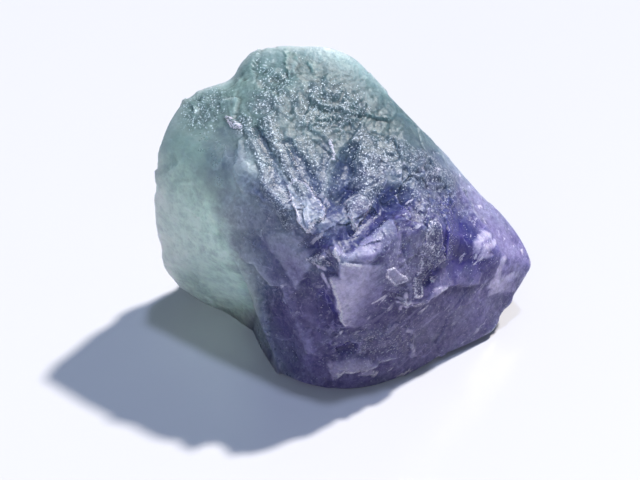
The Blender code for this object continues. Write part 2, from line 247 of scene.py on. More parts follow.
@dataclass(frozen=True)
class Sheet:
    """A flat sheet that one side's relief is drawn on, seen square on from outside."""

    azimuth: float
    elevation: float
    fade_from: float
    fade_to: float

    @property
    def outward(self) -> np.ndarray:
        """Direction out of the stone that the sheet faces."""
        turn, rise = radians(self.azimuth), radians(self.elevation)
        return np.array([sin(turn) * cos(rise), -cos(turn) * cos(rise), sin(rise)])

    @property
    def right(self) -> np.ndarray:
        """Level direction to the right along the sheet."""
        turn = radians(self.azimuth)
        return np.array([cos(turn), sin(turn), 0.0])

    @property
    def up(self) -> np.ndarray:
        """Direction up the sheet."""
        return np.cross(self.outward, self.right)

    def points(self, places: np.ndarray) -> np.ndarray:
        """Drop places square onto the sheet: right and up, in millimetres."""
        return np.stack([places @ self.right, places @ self.up], axis=1)

    def strength(self, rays: np.ndarray) -> np.ndarray:
        """1 for rays that face the sheet, fading to 0 for those that point away."""
        return smooth(self.fade_from, self.fade_to, rays @ self.outward)


class Side(Enum):
    """The sides of the stone that relief is drawn on."""

    FRONT = Sheet(azimuth=0, elevation=38, fade_from=-0.30, fade_to=-0.05)
    BACK = Sheet(azimuth=180, elevation=20, fade_from=0.10, fade_to=0.40)


class Tone(Enum):
    """What a drawn feature does to the stone's finish where it lies."""

    NONE = "none"
    FROST = "frost"      # crushed, sparkling and white
    MIST = "mist"        # soft, pale and cloudy
    # the clear tone also darkens the colour: painted shade for the unlit inside of the stone
    CLEAR = "clear"      # smooth and clean, so that the dark inside shows


@dataclass(frozen=True)
class Cover:
    """What a feature adds at each point: height in millimetres and marks from 0 to 1."""

    height: np.ndarray
    toned: np.ndarray
    line: np.ndarray


@dataclass(frozen=True)
class Feature:
    """One drawn feature: where it lies, and what it does to height and finish."""

    side: Side
    tone: Tone
    tint: float

    def cover(self, points: np.ndarray) -> Cover:
        """Work out the feature at points of its sheet."""
        raise NotImplementedError


LINE_REACH = 0.6      # a bright line's mark falls from 1 to 0 over this many millimetres
PLATE_HEIGHT = 1.2    # no plate stands up by more than this many millimetres
GRIT_SIZES = (0.9, 0.5)
GRIT_SEEDS = (700, 701)


@dataclass(frozen=True)
class Ridge(Feature):
    """A rounded ridge along a line, or a groove where its rise is below zero."""

    line: Line
    half_width: float
    rise: float

    def cover(self, points: np.ndarray) -> Cover:
        """Height rise x (1 - (distance / half width)^2), starting softly at the first end.

        Args:
            points: Points on the feature's sheet.

        Returns:
            The ridge's cover, toned over its whole width.
        """
        distance, _, way = to_line(points, self.line)
        start = smooth(0.0, 0.08, way)
        crest = np.clip(1.0 - (distance / self.half_width) ** 2, 0.0, 1.0) * start
        toned = smooth(1.25, 0.55, distance / self.half_width) * start
        return Cover(self.rise * crest, self.tint * toned, np.zeros(len(points)))


@dataclass(frozen=True)
class Hairline(Feature):
    """A bright broken edge along a line, raised a little."""

    line: Line
    rise: float = 0.12

    def cover(self, points: np.ndarray) -> Cover:
        """A narrow rise, and a line mark that falls evenly with the distance.

        Args:
            points: Points on the feature's sheet.

        Returns:
            The line's cover.
        """
        distance, _, way = to_line(points, self.line)
        ends = smooth(0.0, 0.1, way) * smooth(0.0, 0.1, 1.0 - way)
        near = np.clip(1.0 - distance / LINE_REACH, 0.0, 1.0)
        crest = smooth(0.3, 0.0, distance) * ends
        return Cover(self.rise * crest, 0.0 * near, self.tint * near * (0.4 + 0.6 * ends))


@dataclass(frozen=True)
class Hollow(Feature):
    """An oval hollow with soft sides, or a bump where its depth is below zero."""

    centre: tuple[float, float]
    axis: tuple[float, float]
    half_length: float
    half_width: float
    depth: float

    def cover(self, points: np.ndarray) -> Cover:
        """Height -depth x exp(-q), where q is the squared oval distance from the centre.

        Args:
            points: Points on the feature's sheet.

        Returns:
            The hollow's cover, toned over its middle.
        """
        long_way = np.array(self.axis) / np.hypot(*self.axis)
        cross_way = np.array([-long_way[1], long_way[0]])
        offset = points - np.array(self.centre)
        along = offset @ long_way / self.half_length
        across = offset @ cross_way / self.half_width
        bowl = np.exp(-(along**2 + across**2))
        toned = self.tint * smooth(0.3, 0.75, bowl)
        return Cover(-self.depth * bowl, toned, np.zeros(len(points)))


@dataclass(frozen=True)
class Patch(Feature):
    """A soft-edged patch of finish with a little grit on it."""

    outline: Line
    grit: float = 0.0
    edge: float = 1.2

    def cover(self, points: np.ndarray) -> Cover:
        """Tone that rises softly inside the outline, with lumps of the grit's height.

        Args:
            points: Points on the feature's sheet.

        Returns:
            The patch's cover.
        """
        inside = smooth(-self.edge, self.edge, depth_inside(points, self.outline))
        spots = np.column_stack([points, np.zeros(len(points))])
        coarse, fine = (lumps(spots, *grit) for grit in zip(GRIT_SIZES, GRIT_SEEDS))
        grit = coarse**2 + 0.6 * fine
        return Cover(self.grit * grit * inside, self.tint * inside, np.zeros(len(points)))


@dataclass(frozen=True)
class Plate(Feature):
    """A pale cleavage plate: a flat, tilted flake with a steep edge all round."""

    outline: Line
    rise: float
    slope: tuple[float, float] = (0.0, 0.0)
    rim: float = 0.75
    fade: tuple[float, float] = (0.0, 0.0)
    edge: float = 0.12

    def cover(self, points: np.ndarray) -> Cover:
        """Height of a tilted plane inside the outline, and a bright rim along it.

        Args:
            points: Points on the feature's sheet.

        Returns:
            The plate's cover.
        """
        depth = depth_inside(points, self.outline)
        inside = smooth(-self.edge, self.edge / 2, depth)
        middle = np.mean(self.outline, axis=0)
        plane = np.clip(self.rise + (points - middle) @ self.slope, 0.0, PLATE_HEIGHT)
        near = np.clip(1.0 - np.abs(depth) / LINE_REACH, 0.0, 1.0)
        left = np.clip(1.0 - (points - middle) @ self.fade, 0.0, 1.0)
        return Cover(plane * inside, self.tint * inside * left, self.rim * near * left)


@dataclass(frozen=True)
class Ledge(Feature):
    """A step along a line: raised on one hand, and running out on that side."""

    line: Line
    rise: float
    reach: float
    edge: float = 0.15

    def cover(self, points: np.ndarray) -> Cover:
        """Height |rise| x (1 - distance / reach) on the raised hand, with a steep edge.

        Args:
            points: Points on the feature's sheet.

        Returns:
            The ledge's cover: toned on the raised side, with the edge line marked.
        """
        distance, side, way = to_line(points, self.line)
        step = smooth(-self.edge, self.edge, distance * side * np.sign(self.rise))
        ends = smooth(0.0, 0.06, way) * smooth(0.0, 0.06, 1.0 - way)
        runout = np.clip(1.0 - distance / self.reach, 0.0, 1.0)
        near = np.clip(1.0 - distance / LINE_REACH, 0.0, 1.0) * ends
        toned = step * ends * runout
        return Cover(abs(self.rise) * toned, self.tint * toned, self.tint * near)


F, B = Side.FRONT, Side.BACK
FROST, MIST, CLEAR, NONE = Tone.FROST, Tone.MIST, Tone.CLEAR, Tone.NONE

# Each feature has its side, tone and tint, and then its class's own fields in their order.
# Points are right and up on the side's sheet, in millimetres.
FEATURES: tuple[Feature, ...] = (
    # the frosted bands that run down from the crest, and the grooves between them, darkened by the
    # clear tone's painted shade
    Ridge(F, FROST, 0.90, ((-10.8, 21.8), (-10.1, 19.9), (-8.8, 16.1), (-7.3, 12.5), (-5.9, 10.2)),
        0.68, 0.20),
    Ridge(F, FROST, 1.00, ((-8.9, 21.8), (-8.0, 19.9), (-6.7, 17.7), (-5.7, 15.4), (-4.4, 13.3)),
        0.82, 0.26),
    Ridge(F, FROST, 0.70, ((-5.1, 19.7), (-4.0, 17.8), (-2.4, 14.0)), 1.05, 0.2),
    Ridge(F, FROST, 0.80, ((0.6, 19.6), (2.2, 17.9), (2.6, 15.5), (1.3, 12.7)), 1.8, 0.3),
    Ridge(F, FROST, 0.60, ((5.1, 17.9), (8.1, 17.2), (10.9, 15.1)), 1.0, 0.3),
    Ridge(F, CLEAR, 0.75, ((-9.9, 20.7), (-8.6, 18.2), (-7.4, 15.6), (-6.5, 12.5)), 0.75, -0.14),
    Ridge(F, CLEAR, 0.80, ((-6.6, 19.2), (-5.1, 16.9), (-3.7, 14.2), (-3.0, 12.1)), 0.85, -0.18),
    Ridge(F, CLEAR, 0.50, ((-1.8, 18.9), (-2.2, 16.2), (-3.0, 13.8)), 0.6, -0.14),
    Ridge(F, CLEAR, 0.80, ((-1.2, 7.4), (1.1, 9.0), (3.4, 11.1), (5.8, 13.0)), 1.3, -0.6),
    Ridge(F, CLEAR, 0.80, ((0.8, 18.9), (-0.1, 16.2), (-1.1, 13.4)), 1.0, -0.35),
    Ridge(F, CLEAR, 0.90, ((-1.2, -3.2), (0.6, -2.8)), 0.8, -0.6),
    Ridge(F, NONE, 0.0, ((-20.4, 16.0), (-18.7, 17.0)), 0.8, -0.4),
    Ridge(F, FROST, 0.60, ((4.1, 19.0), (5.7, 18.8), (7.3, 18.0), (8.8, 17.0)), 0.35, 0.10),
    Ridge(F, FROST, 0.60, ((3.5, 17.7), (5.7, 17.7), (7.6, 16.9), (9.6, 15.7)), 0.35, 0.10),
    Ridge(F, FROST, 0.60, ((4.0, 16.3), (6.2, 16.3), (8.4, 15.6), (10.7, 14.4)), 0.35, 0.10),
    Ridge(B, NONE, 0.0, ((-3.0, 3.0), (-1.0, 8.0), (-2.0, 14.0)), 2.6, 0.5),
    Ridge(B, CLEAR, 0.25, ((-5.0, 22.0), (-1.0, 18.0), (2.0, 13.0), (3.0, 8.0)), 2.4, -0.6),
    # bays and scars, darkened by the clear tone's painted shade
    Hollow(F, CLEAR, 0.50, (0.1, 15.9), (0.3, 1.0), 2.6, 1.2, 0.6),
    Hollow(F, CLEAR, 1.00, (-0.7, 13.1), (0.8, 0.6), 2.4, 0.9, 0.8),
    Hollow(F, CLEAR, 1.00, (4.0, 12.3), (0.6, 0.8), 2.4, 1.3, 0.8),
    Hollow(F, CLEAR, 0.70, (-3.0, 8.4), (1.0, 0.2), 2.4, 1.0, 0.7),
    Hollow(F, CLEAR, 1.00, (-2.0, 1.4), (0.5, -1.0), 2.4, 0.9, 0.5),
    Hollow(F, CLEAR, 0.60, (-2.0, 5.2), (0.9, -0.3), 1.3, 0.9, 0.3),
    Hollow(F, CLEAR, 0.80, (12.0, 6.0), (0.5, 0.9), 2.8, 1.4, 0.6),
    Hollow(F, CLEAR, 0.50, (12.4, 10.0), (0.2, 1.0), 2.4, 1.4, 0.4),
    Hollow(F, CLEAR, 0.90, (6.0, 7.8), (0.3, 1.0), 1.2, 0.8, 0.6),
    Hollow(F, CLEAR, 0.80, (8.8, 4.8), (0.7, 0.7), 1.8, 0.9, 0.5),
    Hollow(F, NONE, 0.0, (17.4, -0.1), (0.7, 0.7), 1.6, 1.0, 0.3),
    Hollow(F, NONE, 0.0, (-13.4, 26.6), (0.9, 0.5), 2.4, 1.8, 1.35),
    Hollow(F, NONE, 0.0, (-20.2, 7.7), (0.2, 1.0), 1.2, 1.4, 0.55),
    Hollow(F, CLEAR, 0.50, (-6.9, -2.9), (0.5, -0.9), 3.4, 1.4, 0.6),
    Hollow(B, CLEAR, 0.40, (4.0, 8.0), (1.0, 0.4), 6.0, 3.5, 1.1),
    Hollow(B, NONE, 0.0, (-9.0, 3.0), (1.0, -0.3), 4.0, 2.5, 0.9),
    # small bumps, toned white where glints show: painted highlights on real bumps
    Hollow(F, FROST, 0.80, (7.1, 13.1), (1.0, 0.0), 0.75, 0.65, -0.50),
    Hollow(F, FROST, 0.80, (8.5, 12.0), (1.0, 0.0), 0.50, 0.50, -0.30),
    Hollow(F, FROST, 0.80, (7.7, 14.9), (1.0, 0.0), 0.35, 0.35, -0.30),
    Hollow(F, FROST, 1.00, (5.8, 2.0), (1.0, 0.0), 0.70, 0.40, -0.35),
    Hollow(F, FROST, 1.00, (-1.0, 23.6), (1.0, 0.0), 0.40, 0.30, -0.30),
    Hollow(F, FROST, 1.00, (0.1, 22.7), (1.0, 0.4), 0.60, 0.40, -0.30),
    Hollow(F, FROST, 1.00, (-12.0, 20.7), (1.0, -0.4), 0.70, 0.25, -0.30),
    Hollow(F, FROST, 1.00, (13.2, 13.8), (1.0, -1.0), 0.40, 0.20, -0.25),
    Hollow(F, FROST, 0.90, (-15.0, 23.5), (1.0, 0.4), 0.80, 0.50, -0.30),
    Hollow(F, FROST, 0.90, (7.1, -1.8), (0.3, 1.0), 0.70, 0.25, -0.20),
    # cleavage plates and flakes
    Plate(F, MIST, 0.18, ((-6.3, 13.7), (-5.1, 11.3), (-4.7, 10.2), (-4.1, 9.3), (-2.3, 10.8),
        (-2.3, 12.0), (-4.3, 14.3), (-5.4, 14.6)), 0.45, (0.05, -0.12), 0.8),
    Plate(F, MIST, 0.22, ((0.0, 12.5), (0.5, 10.4), (1.0, 9.5), (2.2, 11.5), (2.4, 12.5),
        (1.3, 13.3)), 0.45, (0.0, -0.15), 0.8),
    Plate(F, MIST, 0.62, ((-1.5, 8.1), (-1.0, 6.9), (-0.6, 6.2), (2.0, 5.5), (2.8, 6.6),
        (5.2, 8.9), (4.2, 10.4), (1.8, 8.4), (0.5, 7.4), (-0.3, 7.2), (-0.8, 7.9)), 0.10,
        (0.0, 0.03), 0.5, (0.06, 0.0)),
    Plate(F, MIST, 1.00, ((-1.4, 4.8), (-0.9, 1.6), (-0.2, -0.2), (1.4, -0.5), (3.3, 1.0),
        (4.6, 4.4), (4.1, 6.1), (1.8, 5.7), (-0.6, 6.1), (-0.5, 4.5)), 0.16, (-0.10, 0.03), 0.25,
        (0.30, -0.14), 0.4),
    Plate(F, MIST, 0.85, ((4.2, 5.5), (5.1, 5.7), (6.2, 4.3), (4.7, 4.1), (4.3, 4.7)), 0.25),
    Plate(F, FROST, 0.75, ((8.9, 10.6), (9.6, 8.6), (10.0, 6.7), (7.7, 4.4), (7.8, 2.9),
        (6.9, 2.9), (6.8, 3.7), (7.3, 4.7), (7.6, 7.4), (8.4, 9.6)), 0.25, (0.05, 0.0)),
    Plate(F, MIST, 0.55, ((-8.1, 8.7), (-6.6, 9.3), (-4.8, 8.9), (-3.9, 7.4), (-3.8, 5.8),
        (-5.1, 3.7), (-6.5, 6.1), (-7.4, 7.4)), 0.15, (0.03, -0.03), 0.2, (-0.1, 0.1), 0.3),
    Plate(F, MIST, 0.80, ((-1.5, -6.5), (-0.2, -5.8), (3.7, -4.6), (2.3, -3.7), (-0.4, -3.9),
        (-2.1, -4.8)), 0.25, rim=0.5, fade=(0.0, 0.25), edge=0.2),
    Plate(F, MIST, 0.75, ((1.5, -6.2), (3.4, -5.8), (2.9, -5.2), (1.8, -5.5)), 0.15),
    Plate(F, MIST, 0.50, ((-9.0, 28.6), (-6.6, 28.8), (-6.4, 26.3), (-7.5, 25.8), (-9.0, 27.0)),
        0.10, rim=0.4),
    # painted highlight: this frosted flake is toned white where a glint shows
    Plate(F, FROST, 1.00, ((-12.7, 21.0), (-12.0, 20.8), (-11.1, 20.4), (-11.8, 20.2),
        (-12.4, 20.5)), 0.3, rim=0.9),
    Plate(F, MIST, 0.45, ((-4.9, 0.2), (-3.6, -1.1), (-2.8, -3.5), (-3.9, -3.3), (-5.1, -1.7)),
        0.3, rim=0.3, edge=0.3),
    Plate(F, MIST, 0.80, ((6.3, -0.7), (7.0, -0.8), (7.2, -1.4), (6.4, -1.3)), 0.2, rim=0.5),
    Plate(F, MIST, 0.60, ((6.9, -2.4), (7.3, -2.2), (7.7, -3.5), (7.9, -4.4), (7.0, -4.3),
        (7.1, -3.5)), 0.2, rim=0.5),
    Plate(F, MIST, 0.70, ((8.3, 2.2), (10.0, 2.8), (10.5, 3.5), (9.1, 3.4)), 0.25, rim=0.6),
    Plate(F, MIST, 0.60, ((4.1, -1.1), (5.1, -0.1), (5.5, -0.3), (4.4, -1.4)), 0.2, rim=0.5),
    Plate(F, FROST, 0.90, ((-3.3, 7.0), (-2.3, 6.8), (-1.8, 6.1), (-2.6, 5.9), (-3.2, 6.1),
        (-4.0, 6.3)), 0.35),
    Plate(B, MIST, 0.40, ((7.6, 11.4), (9.8, 12.4), (12.6, 11.9), (14.6, 14.8), (13.2, 18.3),
        (10.0, 20.0), (8.6, 18.0), (6.8, 17.2), (7.5, 14.0)), 0.5, (0.03, 0.03)),
    # ledges
    Ledge(F, MIST, 0.22, ((-10.8, 19.5), (-11.6, 16.1), (-11.0, 13.6), (-8.1, 12.3), (-6.6, 10.2)),
        0.45, 2.2),
    Ledge(F, MIST, 0.30, ((10.0, 18.2), (12.0, 15.2), (13.6, 12.8), (17.6, 6.0)), -0.35, 2.0),
    Ledge(F, NONE, 0.0, ((-6.2, 28.9), (-6.1, 27.7), (-6.4, 26.2)), -0.2, 2.0),
    Ledge(F, MIST, 0.40, ((-11.5, 6.5), (-9.7, 6.1), (-8.5, 4.7), (-6.7, 3.3), (-4.9, -0.6),
        (-3.7, -3.3)), 0.6, 2.5),
    Ledge(F, MIST, 0.40, ((5.6, 1.8), (7.8, 2.1), (10.0, 3.0), (12.3, 3.8), (14.5, 3.7)), 0.4,
        2.2),
    Ledge(F, MIST, 0.50, ((-1.2, -5.1), (1.5, -4.7), (5.6, -4.2)), 0.5, 1.6),
    Ledge(F, MIST, 0.30, ((-9.0, 1.7), (-8.4, -1.9), (-6.8, -6.0)), -0.4, 1.8),
    Ledge(F, NONE, 0.0, ((5.7, 17.7), (5.6, 15.2), (5.7, 12.6), (6.3, 10.3)), -0.4, 2.0),
    Ledge(F, NONE, 0.0, ((-4.9, 21.0), (-1.8, 19.1), (-0.2, 20.8), (1.7, 21.3)), 0.15, 2.0),
    Ledge(F, NONE, 0.0, ((10.0, 12.7), (10.3, 9.4), (10.0, 6.1)), 0.3, 1.8),
    Ledge(B, MIST, 0.40, ((-12.0, 4.0), (-6.0, 9.0), (1.0, 12.0), (8.0, 18.0), (12.0, 23.0)), 0.8,
        4.0),
    Ledge(B, MIST, 0.40, ((16.0, 4.0), (10.0, 6.0), (4.0, 3.0)), 0.6, 3.0),
    # feathers, and a star and flecks where the crystal is bruised
    Ridge(F, MIST, 1.00, ((14.0, 6.7), (14.4, 7.9), (15.1, 9.0)), 0.50, 0.10),
    Ridge(F, MIST, 1.00, ((14.8, 6.4), (15.1, 7.5), (15.8, 8.3)), 0.42, 0.08),
    Ridge(F, MIST, 0.90, ((14.2, 6.3), (15.5, 6.8)), 0.22, 0.06),
    Ridge(F, MIST, 1.00, ((15.9, 2.9), (16.5, 4.3), (16.7, 5.2), (17.2, 6.4)), 0.46, 0.10),
    Ridge(F, MIST, 1.00, ((16.1, 3.3), (17.3, 4.1), (18.4, 4.4)), 0.50, 0.08),
    Ridge(F, MIST, 0.90, ((15.6, 2.5), (16.9, 2.9), (18.2, 3.2)), 0.40, 0.06),
    Ridge(F, MIST, 1.00, ((4.9, 1.9), (5.7, 2.0), (6.7, 2.2)), 0.20, 0.08),
    Ridge(F, MIST, 1.00, ((5.6, 1.1), (5.8, 2.0), (5.9, 2.9)), 0.18, 0.08),
    Ridge(F, MIST, 1.00, ((5.1, 2.6), (5.8, 2.0), (6.3, 1.4)), 0.18, 0.08),
    Ridge(F, MIST, 1.00, ((-3.6, 6.4), (-2.4, 6.9)), 0.30, 0.10),
    Ridge(F, MIST, 1.00, ((-3.1, 6.0), (-2.2, 5.6)), 0.26, 0.08),
    Ridge(F, MIST, 1.00, ((-2.7, 5.2), (-2.2, 4.5), (-1.7, 3.6)), 0.22, 0.08),
    # bright broken edges
    Hairline(F, NONE, 0.95, ((-1.5, 4.8), (-1.0, 3.0), (-0.6, 1.1), (-0.2, -0.6))),
    Hairline(F, NONE, 0.95, ((-6.2, 13.5), (-5.7, 12.3), (-4.8, 11.3), (-4.5, 10.2), (-4.0, 9.3),
        (-3.1, 10.0), (-2.3, 10.6))),
    Hairline(F, NONE, 1.00, ((0.1, 11.5), (0.5, 10.3), (1.0, 9.5))),
    Hairline(F, NONE, 1.00, ((-1.5, 8.1), (-1.2, 7.2), (-0.7, 6.3), (0.7, 5.8), (2.0, 5.5))),
    Hairline(F, NONE, 0.60, ((-10.8, 19.5), (-11.4, 17.7), (-11.6, 16.1), (-11.5, 14.8),
        (-11.0, 13.6))),
    Hairline(F, NONE, 0.90, ((4.2, 5.5), (4.4, 4.6), (4.8, 4.1), (6.1, 4.3))),
    Hairline(F, NONE, 0.85, ((6.8, 3.7), (6.9, 2.9), (7.7, 2.9), (7.7, 4.2))),
    Hairline(F, NONE, 0.70, ((5.1, 1.8), (5.8, 2.1), (6.7, 1.7), (7.8, 2.0), (8.9, 2.3))),
    Hairline(F, NONE, 0.55, ((-10.9, 5.4), (-9.6, 5.0), (-8.7, 3.8), (-7.7, 3.7), (-6.7, 3.1),
        (-6.2, 1.9))),
    Hairline(F, NONE, 0.50, ((-9.0, 1.7), (-8.3, 1.6), (-7.7, 1.8))),
    Hairline(F, NONE, 0.75, ((-1.5, -6.5), (-0.2, -5.6), (1.6, -5.1), (3.7, -4.6))),
    Hairline(F, NONE, 0.45, ((-18.1, 14.6), (-16.5, 14.6), (-15.4, 14.4))),
    Hairline(F, NONE, 0.40, ((-17.8, 12.1), (-16.1, 11.4), (-14.5, 10.3))),
    Hairline(F, NONE, 0.90, ((-1.5, 19.1), (-1.0, 16.7))),
    Hairline(F, NONE, 0.50, ((5.2, 8.9), (4.2, 10.4), (1.8, 8.4))),
    # soft patches of finish
    Patch(F, MIST, 0.50, ((3.9, 3.4), (6.5, 3.6), (8.2, 6.0), (8.4, 9.0), (5.5, 9.4), (4.0, 6.5)),
        0.0, 0.6),
    Patch(F, MIST, 0.40, ((11.0, 1.5), (14.5, 2.8), (17.5, 2.5), (17.8, -0.5), (14.0, -3.0),
        (11.5, -1.5)), 0.0, 1.5),
    Patch(F, MIST, 0.45, ((15.5, 4.0), (17.5, 6.8), (19.5, 6.0), (19.0, 3.5), (17.0, 2.2)), 0.0,
        0.8),
    # painted glow: this pale patch lightens the shaded left face of the prow, standing in for
    # light through the stone
    Patch(F, MIST, 0.30, ((-9.6, 0.5), (-7.6, 0.5), (-6.0, -3.0), (-5.6, -7.0), (-8.5, -6.5)), 0.0,
        0.8),
    Patch(F, FROST, 0.60, ((-4.5, 25.0), (-1.5, 25.2), (1.4, 24.2), (2.4, 22.4), (0.2, 21.6),
        (-3.0, 22.0)), 0.1, 0.8),
    Patch(B, FROST, 0.32, ((-6.0, 5.0), (-3.6, 11.0), (-6.5, 16.0), (-3.0, 21.0), (3.0, 24.0),
        (5.0, 19.0), (1.5, 14.0), (2.5, 8.0), (-1.0, 3.0)), 0.25, 1.6),
    Patch(B, MIST, 0.35, ((-12.0, 8.0), (-9.0, 13.0), (-4.0, 15.0), (-1.0, 11.0), (-5.0, 6.0)),
        0.0, 1.6),
    Patch(F, FROST, 0.55, ((-17.9, 23.3), (-16.1, 24.2), (-14.0, 25.0), (-12.9, 24.3),
        (-13.1, 21.9), (-14.3, 20.1), (-16.5, 20.2), (-17.6, 21.6)), 0.2),
    Patch(F, FROST, 0.60, ((-9.0, 27.7), (-6.0, 26.0), (-6.5, 23.2), (-5.9, 21.5), (-8.9, 21.2),
        (-10.2, 22.6), (-9.4, 24.8)), 0.2),
    Patch(F, FROST, 0.60, ((-6.5, 24.5), (-1.5, 23.5), (2.5, 22.5), (1.7, 21.2), (-0.3, 20.7),
        (-1.9, 19.1), (-5.0, 20.8)), 0.2),
    Patch(F, MIST, 0.15, ((-1.2, 27.5), (1.5, 26.1), (3.7, 24.0), (0.6, 22.0), (-1.2, 23.2),
        (-1.7, 25.5)), 0.1),
    Patch(F, FROST, 0.65, ((0.9, 18.9), (2.7, 20.0), (4.8, 19.0), (5.4, 16.8), (4.0, 14.9),
        (1.9, 13.0), (1.1, 14.6), (1.8, 16.8)), 0.15),
    Patch(F, FROST, 0.50, ((5.7, 17.9), (8.5, 17.5), (11.0, 15.1), (12.6, 12.7), (11.3, 11.1),
        (8.7, 10.3), (6.0, 10.3), (5.6, 13.6)), 0.3),
    Patch(F, FROST, 0.35, ((3.0, 9.5), (6.0, 9.8), (8.6, 9.3), (8.3, 6.0), (6.6, 3.3), (5.5, 1.6),
        (3.9, 3.0), (4.2, 6.5)), 0.15),
    # painted glow: this pale patch low on the green wall stands in for light shining out through
    # the stone
    Patch(F, MIST, 0.75, ((-18.4, 6.0), (-12.5, 3.6), (-9.7, -0.2), (-9.1, -2.2), (-12.5, -0.7),
        (-16.3, 1.0), (-19.2, 2.5)), 0.0, 2.5),
    Patch(F, CLEAR, 0.60, ((-3.3, 1.8), (-1.7, 1.6), (-1.2, -1.2), (-1.9, -2.6), (-3.2, -1.0)),
        0.0, 0.6),
    Patch(F, CLEAR, 0.55, ((-9.5, -0.5), (-7.6, 0.5), (-6.0, -2.0), (-5.5, -6.5), (-8.0, -5.0)),
        0.0, 0.7),
    Patch(F, CLEAR, 0.60, ((-11.0, 9.0), (-8.6, 9.8), (-7.0, 6.5), (-5.4, 3.9), (-7.5, 4.2),
        (-9.5, 6.5)), 0.0, 0.9),
    Patch(F, MIST, 0.20, ((-20.2, 14.5), (-18.0, 14.8), (-16.4, 11.5), (-15.8, 9.0), (-18.0, 8.0),
        (-20.8, 8.5)), 0.0, 1.6),
    Patch(F, CLEAR, 0.45, ((-15.5, 19.0), (-11.8, 19.2), (-12.2, 15.0), (-13.2, 11.5),
        (-15.6, 14.0)), 0.0, 1.5),
    # painted shade: this clear patch darkens the lamp-lit upper right slope
    Patch(F, CLEAR, 0.85, ((8.6, 12.8), (11.5, 13.5), (14.5, 9.6), (16.2, 6.4), (14.6, 4.6),
        (11.4, 4.4), (9.6, 7.0)), 0.0, 1.2),
    Patch(F, MIST, 0.20, ((8.0, 1.8), (12.0, 3.0), (17.0, 3.4), (17.5, 0.0), (13.0, -3.5),
        (8.5, -4.5), (7.8, -1.5)), 0.0, 1.5),
    Patch(F, MIST, 0.24, ((-11.6, 17.0), (-10.4, 18.5), (-9.2, 15.0), (-7.6, 11.5), (-7.6, 8.6),
        (-10.0, 9.4), (-12.4, 12.4)), 0.0, 0.9),
    Patch(F, MIST, 0.95, ((16.1, 4.0), (17.1, 4.3), (18.9, 4.3), (18.2, 3.3), (17.2, 2.5),
        (16.4, 3.1)), 0.0, 0.6),
    Patch(F, MIST, 0.45, ((17.7, 8.4), (19.9, 7.3), (20.2, 5.6), (18.9, 5.1), (17.7, 6.4)), 0.0,
        1.0),
    Patch(F, MIST, 0.55, ((9.6, 19.0), (11.6, 15.6), (13.6, 12.8), (15.5, 9.7), (17.6, 6.0),
        (18.6, 3.0), (23.0, 5.0), (22.0, 10.0), (14.0, 19.0)), 0.0, 0.5),
    Patch(F, CLEAR, 0.60, ((-3.0, 12.6), (-1.6, 13.6), (-0.2, 12.8), (-0.4, 11.2), (-2.0, 10.9)),
        0.0, 0.5),
    Patch(F, MIST, 0.28, ((-6.5, 2.5), (-3.0, 2.5), (-1.8, -1.0), (-2.0, -5.0), (-4.5, -5.5),
        (-6.0, -1.5)), 0.0, 1.2),
    Patch(F, MIST, 0.30, ((-6.0, -8.0), (0.0, -9.5), (8.0, -8.0), (14.0, -4.5), (14.0, -1.5),
        (8.0, -4.0), (0.0, -5.0), (-5.0, -3.5)), 0.0, 1.5),
    Patch(F, MIST, 0.25, ((-2.0, -6.0), (2.0, -5.4), (7.5, -4.2), (9.0, -2.0), (6.0, 0.2),
        (2.0, -0.6), (-1.5, -2.0)), 0.1, 0.8),
    Patch(F, FROST, 0.35, ((-2.0, -4.5), (3.0, -4.0), (7.5, -3.2), (6.0, -0.5), (2.0, -1.0),
        (-1.5, -2.5)), 0.12),
)

ROUGH_FIELD: Line = (
    (-17.7, 23.8), (-12.9, 25.4), (-10.0, 29.5), (-4.9, 29.0), (-0.7, 25.8), (5.2, 20.7),
    (10.2, 16.5), (13.6, 12.8), (12.4, 9.5), (11.1, 6.1), (6.7, 2.1), (3.9, 4.3), (-1.8, 6.1),
    (-4.8, 8.4), (-8.2, 10.3), (-10.2, 13.6), (-10.6, 17.7), (-12.7, 20.1), (-16.5, 20.5))

CORNERS: tuple[tuple[float, float, float], ...] = (
    # over the shoulder and along the crest
    (-19.1, 1.0, 26.0), (-18.0, 3.2, 27.2), (-15.7, 5.0, 28.2), (-11.1, 7.7, 30.0),
    (-9.0, 8.5, 30.6), (-2.2, 9.0, 30.6), (0.9, 8.6, 29.2),
    # down the long slope to the tip and its foot
    (6.1, 5.5, 25.0), (11.2, 4.7, 18.6), (16.4, 4.2, 12.6), (19.9, 2.9, 8.5), (21.1, 0.9, 6.4),
    (18.9, -1.4, 3.2), (17.2, -4.0, 0.8),
    # down the left side
    (-20.0, 0.0, 24.0), (-21.0, -0.6, 20.5), (-20.9, 2.2, 13.0), (-20.5, 2.0, 4.5),
    (-19.8, 1.7, 2.2),
    # round the foot in front
    (-16.0, 0.4, 0.0), (-9.3, -4.0, 0.0), (-5.0, -12.3, 0.5), (0.0, -12.8, 0.3),
    (6.2, -10.7, 0.2), (13.2, -6.5, 0.2),
    # the front rim under the sloping top
    (-10.0, -7.0, 25.0), (-4.2, -12.0, 20.0), (-0.3, -14.0, 19.5), (2.9, -13.3, 19.0),
    (8.4, -8.3, 19.5),
    # the back and the rest of the foot
    (-14.5, 8.0, 24.0), (-13.5, 10.0, 10.0), (-0.5, 12.5, 22.0), (1.5, 14.0, 8.0),
    (12.5, 9.5, 12.0), (17.5, 7.0, 4.0), (-13.5, 9.0, 0.0), (2.5, 12.0, 0.0), (15.0, 6.0, 0.0))


# ---------------------------------------------------------------- the finish


Colour = tuple[float, float, float]
Pair = tuple[Colour, Colour]
Socket = bpy.types.NodeSocket

SLOPING: Colour = (0.766, 0.396, 0.507)   # the two ways that the cleavage traces run
STEEP: Colour = (0.20, 0.30, -0.93)


